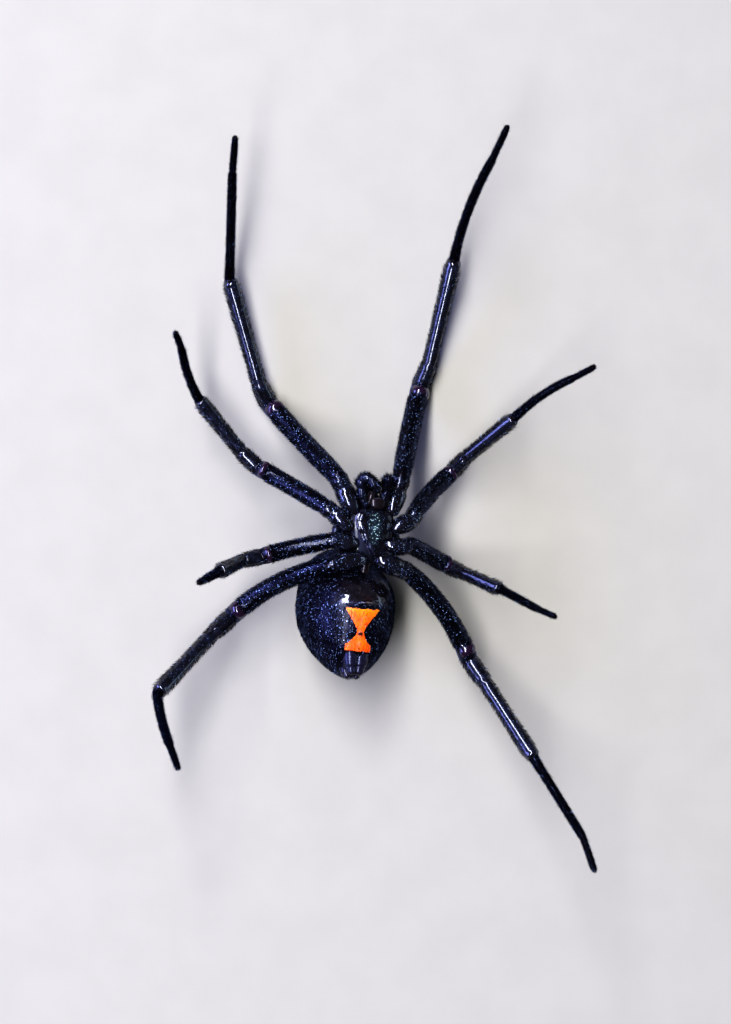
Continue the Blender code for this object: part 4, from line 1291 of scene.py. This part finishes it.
class SpiderLegSettings(bpy.types.PropertyGroup):
    """Colours and sizes of the legs and palps"""

    cuticle_colour: colour_setting("Cuticle", "Black of the legs", (0.0050, 0.0045, 0.0070))
    violet_colour: colour_setting("Violet", "Violet tone in the black", (0.009, 0.010, 0.022))
    hip_colour: colour_setting("Hips", "Brown of the hips", (0.007, 0.0050, 0.0065))
    knee_colour: colour_setting("Knees", "Red-purple of the knees' bulbs", (0.019, 0.006, 0.020))
    membrane_colour: colour_setting("Joint skin", "Soft skin in the joints", (0.016, 0.009, 0.010))
    # A painted glint at the hairs' sockets.
    glint_colour: colour_setting("Glints", "Blue glint painted at the hairs' sockets", (0.34, 0.50, 0.90))
    thin_colour: colour_setting("Thin ends", "Dull black of the ends", (0.0050, 0.0045, 0.0055))
    gloss_roughness: share_setting("Roughness", "Roughness of the legs", 0.27)


class SpiderMouthSettings(bpy.types.PropertyGroup):
    """Colours of the mouthparts and eyes"""

    brown_colour: colour_setting("Brown", "Dark brown of the jaws", (0.008, 0.006, 0.008))
    red_brown_colour: colour_setting("Red-brown", "Redder parts of the jaws", (0.013, 0.008, 0.009))
    # A painted highlight near the mouthparts' tips.
    pale_tip_colour: colour_setting("Pale tip", "Pale violet highlight painted near the mouthparts' tips", (0.12, 0.10, 0.18))
    eye_colour: colour_setting("Eyes", "Wet black of the eyes", (0.010, 0.009, 0.010))
    eye_depth_colour: colour_setting("Eyes, depth", "Brown in the eyes", (0.030, 0.020, 0.014))
    fang_colour: colour_setting("Fangs", "Red-black of the fangs and claws", (0.030, 0.008, 0.005))


class SpiderCoatSettings(bpy.types.PropertyGroup):
    """Numbers and lengths of the hairs"""

    dark_colour: colour_setting("Dark hair", "Black of most hairs", (0.0035, 0.0035, 0.006))
    # Painted glints on a share of the hairs.
    pale_colour: colour_setting("Pale hair", "Blue-grey painted on a share of the hairs as glints", (0.34, 0.46, 0.80))
    hairs_per_leg_mm: count_setting("Hairs per mm", "Hairs on a millimetre of leg", 700)
    bristles_per_leg_mm: count_setting("Bristles per mm", "Bristles on a millimetre of leg", 26)
    abdomen_hairs: count_setting("Abdomen hairs", "Hairs on the abdomen", 30000)
    leg_pale_share: share_setting("Pale on legs", "Share of the legs' hairs painted pale as glints", 0.05)
    body_pale_share: share_setting("Pale on body", "Share of the body's hairs painted pale as glints", 0.07)
    leg_hair_length: length_setting("Leg hair", "Length of a leg's hairs", 0.19)
    hair_radius: length_setting("Hair radius", "Radius of a hair at its root", 0.008)


class SpiderStageSettings(bpy.types.PropertyGroup):
    """Camera, lights and floor"""

    camera_tilt: bpy.props.FloatProperty(
        name="Camera tilt",
        description="Tilt from straight above, to the spider's right",
        default=math.radians(11.0),
        subtype="ANGLE",
    )
    camera_distance: length_setting("Camera distance", "From the camera to its target", 250.0)
    camera_target: bpy.props.FloatVectorProperty(
        name="Camera target",
        description="What the camera looks at",
        default=(0.062 * MM, -0.726 * MM, 4.0 * MM),
        subtype="TRANSLATION",
        unit="LENGTH",
        precision=6,
    )
    pixel_size: length_setting("Pixel size", "Width of one pixel at the target", 0.0542)
    floor_size: length_setting("Floor size", "Side of the square floor", 900.0)
    floor_colour: colour_setting("Floor", "Pale warm grey of the floor", (0.325, 0.308, 0.282))
    floor_mottling: share_setting("Floor mottling", "Share of light in its darker parts", 0.97)
    key_power: power_setting("Key light", "Power of the pale light from above", 2.65)
    left_power: power_setting("Left light", "Power of the blue light beside it", 1.85)
    right_power: power_setting("Right light", "Power of the faint light from the right", 0.18)
    world_strength: share_setting("Surroundings", "Strength of the even light", 0.13)
    world_colour: colour_setting("Its colour", "Colour of the even light", (0.78, 0.80, 0.86))


class SPIDER_OT_build_stage(bpy.types.Operator):
    """Makes the floor, the lights and the camera"""

    bl_idname = "spider.build_stage"
    bl_label = "Build Stage"

    def execute(self, context):
        settings = context.scene.spider_stage
        build_floor(context, settings)
        build_camera(context, settings)
        build_lights(context, settings)
        return {"FINISHED"}


def build_floor(context, settings):
    finish = Finish("floor_look", Specular_IOR_Level=0.3)
    grain = finish.noise(finish.place(), 0.35, 4.0)
    darker = [settings.floor_mottling * part for part in settings.floor_colour]
    base = finish.mix(grain.rise(0.3, 0.7), settings.floor_colour, darker)
    finish.set(Base_Color=base, Roughness=0.62 + grain * 0.15)
    bm = bmesh.new()
    just_below = Matrix.Translation((0.0, 0.0, -0.01 * MM))
    half = 0.5 * settings.floor_size
    bmesh.ops.create_grid(bm, x_segments=8, y_segments=8, size=half, matrix=just_below)
    mesh = to_mesh(bm, "floor")
    mesh.materials.append(finish.material)
    floor = bpy.data.objects.new("floor", mesh)
    context.scene.collection.objects.link(floor)


def build_camera(context, settings):
    tilt = settings.camera_tilt
    view = Vector((math.sin(tilt), 0.0, -math.cos(tilt)))
    right = Vector((math.cos(tilt), 0.0, math.sin(tilt)))
    data = bpy.data.cameras.new("photo_camera")
    data.sensor_width = SENSOR
    data.lens = SENSOR * settings.camera_distance / (PICTURE_HEIGHT_PX * settings.pixel_size)
    data.clip_start = 0.01
    camera = bpy.data.objects.new("photo_camera", data)
    turn = Matrix((right, AXIS_Y, -view)).transposed().to_4x4()
    place = Vector(settings.camera_target) - view * settings.camera_distance
    camera.matrix_world = Matrix.Translation(place) @ turn
    context.scene.collection.objects.link(camera)
    context.scene.camera = camera


def build_lights(context, settings):
    """Soft lights, longer along Y than they are wide, that face the spider."""
    for name, towards, distance, width, length, colour in LIGHTS:
        data = bpy.data.lights.new(name, "AREA")
        data.shape = "RECTANGLE"
        data.size = width
        data.size_y = length
        data.energy = getattr(settings, name)
        data.color = colour
        light = bpy.data.objects.new(name, data)
        outward = Vector(towards).normalized()
        across = AXIS_Y.cross(outward).normalized()
        turn = Matrix((across, outward.cross(across), outward)).transposed().to_4x4()
        light.matrix_world = Matrix.Translation(outward * distance) @ turn
        context.scene.collection.objects.link(light)
    world = bpy.data.worlds.new("studio")
    world.use_nodes = True
    background = world.node_tree.nodes["Background"]
    background.inputs["Color"].default_value = (*settings.world_colour, 1.0)
    background.inputs["Strength"].default_value = settings.world_strength
    context.scene.world = world
    context.scene.view_settings.view_transform = "Standard"
    context.scene.view_settings.look = "High Contrast"


class SPIDER_OT_build_abdomen(bpy.types.Operator):
    """Makes the abdomen's skin with its furrow, plates and hourglass"""

    bl_idname = "spider.build_abdomen"
    bl_label = "Build Abdomen"

    def execute(self, context):
        settings = context.scene.spider_body
        shape = abdomen_shape(settings.coat_depth / MM)
        finish = abdomen_finish(settings)
        add_globe("abdomen_skin", finish, ("abdomen",), shape, ABDOMEN, 360, 260)
        return {"FINISHED"}


class SPIDER_OT_build_waist(bpy.types.Operator):
    """Makes the narrow waist between the two halves of the body"""

    bl_idname = "spider.build_waist"
    bl_label = "Build Waist"

    def execute(self, context):
        low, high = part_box("pedicel")
        middle = (low + high) / (2.0 * MM)
        start = (BODY @ Vector((0.0, -0.9, -0.45))) / MM
        end = middle + (middle - start) * 1.3
        near, far = start.lerp(middle, 0.6), middle.lerp(end, 0.5)
        knots = [(start, 0.30), (near, 0.26), (middle, 0.24), (far, 0.28), (end, 0.3)]
        finish = brown_finish("waist_look", context.scene.spider_mouth)
        rings = ringed(*WAIST_RINGS)
        add_tubes("waist", finish, ("pedicel",), [knots], 0.05, 24, MODEL, rings)
        return {"FINISHED"}


class SPIDER_OT_build_spinnerets(bpy.types.Operator):
    """Makes the ringed cones at the abdomen's end"""

    bl_idname = "spider.build_spinnerets"
    bl_label = "Build Spinnerets"

    def execute(self, context):
        settings = context.scene.spider_body
        cones = [SPINNERET_COLLAR]
        for across, foot, tip, radius in SPINNERETS:
            for sign in (-1.0, 1.0):
                root = Vector((sign * across + SPINNERET_MIDDLE, *foot))
                end = Vector((sign * across * SPINNERET_LEAN_IN + SPINNERET_MIDDLE, *tip))
                cones.append(
                    [(root.lerp(end, share), radius * width) for share, width in SPINNERET_PROFILE]
                )
        violet, brown = settings.violet_colour, settings.plate_colour
        finish = shell_finish("spinneret_look", violet, brown, 0.30, 12.0, ABDOMEN)
        replaced, rings = ("spinnerets",), ringed(*SPINNERET_RINGS)
        add_tubes("spinneret_cones", finish, replaced, cones, 0.03, 20, ABDOMEN, rings)
        return {"FINISHED"}


class SPIDER_OT_build_thorax(bpy.types.Operator):
    """Makes the carapace, the soft sides, the shield and the lip in front of it"""

    bl_idname = "spider.build_thorax"
    bl_label = "Build Thorax"

    def execute(self, context):
        settings = context.scene.spider_body
        mouth = context.scene.spider_mouth
        black, violet, gloss = settings.cuticle_colour, settings.violet_colour, settings.gloss_roughness
        shell = shell_finish("carapace_look", black, violet, gloss, 10.0)
        name, replaced = "carapace", ("cephalothorax",)
        add_globe(name, shell, replaced, carapace_shape, BODY, 128, 96)
        side = shell_finish("side_skin_look", black, mouth.brown_colour, 0.55, 14.0)
        add_globe("side_skin", side, (), oval(*SIDE_SKIN))
        shield = sternum_finish(settings)
        add_globe("sternum", shield, (), sternum_shape, BODY, 96, 96)
        add_globe("labium", brown_finish("labium_look", mouth), (), oval(*LABIUM))
        return {"FINISHED"}


class SPIDER_OT_build_eyes(bpy.types.Operator):
    """Makes the eight eyes"""

    bl_idname = "spider.build_eyes"
    bl_label = "Build Eyes"

    def execute(self, context):
        finish = eye_finish(context.scene.spider_mouth)
        for name in EYE_NAMES:
            low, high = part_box(name)
            place = Matrix.Translation((low + high) / 2.0)
            radius = max(high - low) / 2.0
            bm = bmesh.new()
            bmesh.ops.create_uvsphere(bm, u_segments=32, v_segments=20, radius=radius, matrix=place)
            lens = name.replace("eye_", "lens_")
            add_piece(to_mesh(bm, lens), lens, finish, (name,))
        return {"FINISHED"}


class SPIDER_OT_build_jaws(bpy.types.Operator):
    """Makes the two jaws with their fangs, and the plates beside the mouth"""

    bl_idname = "spider.build_jaws"
    bl_label = "Build Jaws"

    def execute(self, context):
        settings = context.scene.spider_mouth
        jaw_look = brown_finish("jaw_look", settings)
        plate_look = brown_finish("jaw_plate_look", settings)
        for side, sign in (("left", 1.0), ("right", -1.0)):
            fang_look = fang_finish("fang_look_" + side, settings)
            tubes = (
                ("jaw_", jaw_look, ("chelicera_" + side,), JAW_KNOTS, 0.04, 24),
                ("fang_", fang_look, (), FANG_KNOTS, 0.02, 14),
            )
            for name, look, node_names, left_knots, spacing, sides in tubes:
                knots = [((sign * x, y, z), radius) for (x, y, z), radius in left_knots]
                add_tubes(name + side, look, node_names, [knots], spacing, sides)
            centre = (MOUTH_SIDE + sign * JAW_PLATE_OUT, *JAW_PLATE_AT)
            plate = oval(centre, JAW_PLATE_HALF, sign * JAW_PLATE_TURN)
            add_globe("jaw_plate_" + side, plate_look, (), plate)
        return {"FINISHED"}


class SPIDER_OT_build_palps(bpy.types.Operator):
    """Makes the two palps beside the mouth"""

    bl_idname = "spider.build_palps"
    bl_label = "Build Palps"

    def execute(self, context):
        settings = context.scene.spider_legs
        black, violet, gloss = settings.cuticle_colour, settings.violet_colour, settings.gloss_roughness
        finish = shell_finish("palp_look", black, violet, gloss, 12.0)
        for side, knots in PALP_PATHS.items():
            name, replaced = "palp_skin_" + side, ("palp_" + side,)
            add_tubes(name, finish, replaced, [knots], 0.05, 24, swell=pinched)
        return {"FINISHED"}


class SPIDER_OT_build_legs(bpy.types.Operator):
    """Makes the eight legs, each one skin from hip to tip, with claws"""

    bl_idname = "spider.build_legs"
    bl_label = "Build Legs"

    def execute(self, context):
        settings = context.scene.spider_legs
        finish = leg_finish(settings)
        claw_look = fang_finish("claw_look", context.scene.spider_mouth)
        for side, pair in LEG_POSE:
            name = side + "_" + str(pair)
            centres, radii, alongs = leg_path(side, pair)
            bm = new_skin()
            corners = sweep(bm, centres, radii, alongs, LEG_SIDES)
            bm.normal_update()
            shape_joints(bm, corners)
            add_skin(bm, "leg_skin_" + name, finish, ("leg_" + name,))
            ahead = (centres[-1] - centres[-4]).normalized()
            build_claws("claws_" + name, centres[-1] / MM, ahead, claw_look)
        return {"FINISHED"}


def build_claws(name, tip, ahead, finish):
    """Two curved claws and a small middle hook at the end of a leg, in mm."""
    side = ahead.cross(AXIS_Z).normalized()
    down = side.cross(ahead)
    hooks = [
        [
            (tip + side * across + (ahead * reach + down * drop) * size, width * size)
            for reach, drop, width in CLAW_HOOK
        ]
        for across, size in CLAWS
    ]
    add_tubes(name, finish, (), hooks, 0.02, 8, MODEL)


class SPIDER_OT_grow_coat(bpy.types.Operator):
    """Grows the fine hairs on the legs, body and mouthparts"""

    bl_idname = "spider.grow_coat"
    bl_label = "Grow Coat"

    def execute(self, context):
        settings = context.scene.spider_coat
        leg_hair = hair_finish("leg_hair_look", settings, settings.leg_pale_share)
        body_hair = hair_finish("body_hair_look", settings, settings.body_pale_share)
        length = settings.leg_hair_length / MM
        coats = (("hair_leg_", LEG_HAIR_COAT), ("bristle_leg_", LEG_BRISTLE_COAT))
        for number, (side, pair) in enumerate(LEG_POSE):
            name = side + "_" + str(pair)
            skin = ("leg_skin_" + name, leg_hair, "leg_cuticle")
            for prefix, (seed, per_mm, kind, shares) in coats:
                count = int(getattr(settings, per_mm) * sum(SEGMENT_LENGTHS[pair]))
                coat = (count, kind, [share * length for share in shares])
                grow_hairs(prefix + name, skin, seed + number, coat, leg_hair_weight)
        abdomen_coat = (settings.abdomen_hairs, BODY_HAIR, ABDOMEN_HAIR_RANGE)
        coats = (
            ("abdomen", "abdomen_skin", abdomen_coat, abdomen_hair_weight),
            ("carapace", "carapace", CARAPACE_COAT, even_weight),
            ("sternum", "sternum", STERNUM_COAT, sternum_hair_weight),
            ("spinnerets", "spinneret_cones", SPINNERET_COAT, even_weight),
        )
        for number, (name, skin_name, coat, weigh) in enumerate(coats):
            skin = (skin_name, body_hair, "body_cuticle")
            grow_hairs("hair_" + name, skin, BODY_SEED + number, coat, weigh)
        coats = (
            ("hair_palp_", PALP_HAIR_COAT, even_weight),
            ("bristle_palp_", PALP_BRISTLE_COAT, palp_tip_weight),
        )
        for number, side in enumerate(PALP_PATHS):
            skin = ("palp_skin_" + side, leg_hair, "leg_cuticle")
            for prefix, (seed, *coat), weigh in coats:
                grow_hairs(prefix + side, skin, seed + number, coat, weigh)
        return {"FINISHED"}


def leg_hair_weight(_places, uvs):
    """Dense hairs on the long segments, few on the hips, none on the smooth bulbs."""
    upward = np.maximum(np.cos(2.0 * math.pi * (uvs[:, 0] - 0.5)), 0.0)
    bared = np.interp(uvs[:, 1], *LEG_BARE_SHARES) * upward
    return np.interp(uvs[:, 1], *LEG_HAIR_SHARES) * (1.0 - bared)


def abdomen_hair_weight(places, _uvs):
    """Fewer hairs on the hourglass and the smooth plates of the belly."""
    inverse = np.array(ABDOMEN.inverted())
    local = places @ inverse[:3, :3].T + inverse[:3, 3]
    side = local[:, 0] - abdomen_middle(local[:, 1])
    belly = local[:, 2] > 1.0
    plates = belly & (np.abs(side) < 1.7) & (local[:, 1] > 0.1) & (local[:, 1] < 2.2)
    middle = belly & (np.abs(side) < 0.9) & (local[:, 1] <= 0.1)
    weight = np.ones(len(places))
    weight[middle] = 0.3
    weight[plates] = 0.12
    return weight


def sternum_hair_weight(_places, uvs):
    """Hairs only on the shield's outer face, densest in its middle."""
    across = np.abs(uvs[:, 0] - 0.75)
    return np.where(across < 0.25, 1.2 - 3.0 * across, 0.0)


def palp_tip_weight(_places, uvs):
    """Long bristles on the outer part of a palp only."""
    return np.where(uvs[:, 1] > 0.35, 1.0, 0.0)


class SPIDER_PT_panel(bpy.types.Panel):
    """Lists the spider's settings and steps"""

    bl_idname = "SPIDER_PT_panel"
    bl_label = "Black Widow Spider"
    bl_space_type = "VIEW_3D"
    bl_region_type = "UI"
    bl_category = "Spider"

    def draw(self, context):
        for operator in OPERATORS:
            self.layout.operator(operator.bl_idname)
        for name, group in SETTINGS.items():
            box = self.layout.box()
            box.label(text=group.__doc__)
            for key in group.__annotations__:
                box.prop(getattr(context.scene, name), key)


OPERATORS = (
    SPIDER_OT_build_stage,
    SPIDER_OT_build_abdomen,
    SPIDER_OT_build_waist,
    SPIDER_OT_build_spinnerets,
    SPIDER_OT_build_thorax,
    SPIDER_OT_build_eyes,
    SPIDER_OT_build_jaws,
    SPIDER_OT_build_palps,
    SPIDER_OT_build_legs,
    SPIDER_OT_grow_coat,
)
SETTINGS = {
    "spider_body": SpiderBodySettings,
    "spider_legs": SpiderLegSettings,
    "spider_mouth": SpiderMouthSettings,
    "spider_coat": SpiderCoatSettings,
    "spider_stage": SpiderStageSettings,
}


def register():
    for group in SETTINGS.values():
        bpy.utils.register_class(group)
    for name, group in SETTINGS.items():
        setattr(bpy.types.Scene, name, bpy.props.PointerProperty(type=group))
    for operator in OPERATORS:
        bpy.utils.register_class(operator)
    bpy.utils.register_class(SPIDER_PT_panel)


def unregister():
    bpy.utils.unregister_class(SPIDER_PT_panel)
    for operator in reversed(OPERATORS):
        bpy.utils.unregister_class(operator)
    for name, group in SETTINGS.items():
        delattr(bpy.types.Scene, name)
        bpy.utils.unregister_class(group)


def main():
    register()
    bpy.ops.spider.build_stage()
    bpy.ops.spider.build_abdomen()
    bpy.ops.spider.build_waist()
    bpy.ops.spider.build_spinnerets()
    bpy.ops.spider.build_thorax()
    bpy.ops.spider.build_eyes()
    bpy.ops.spider.build_jaws()
    bpy.ops.spider.build_palps()
    bpy.ops.spider.build_legs()
    bpy.ops.spider.grow_coat()


if __name__ == "__main__":
    main()
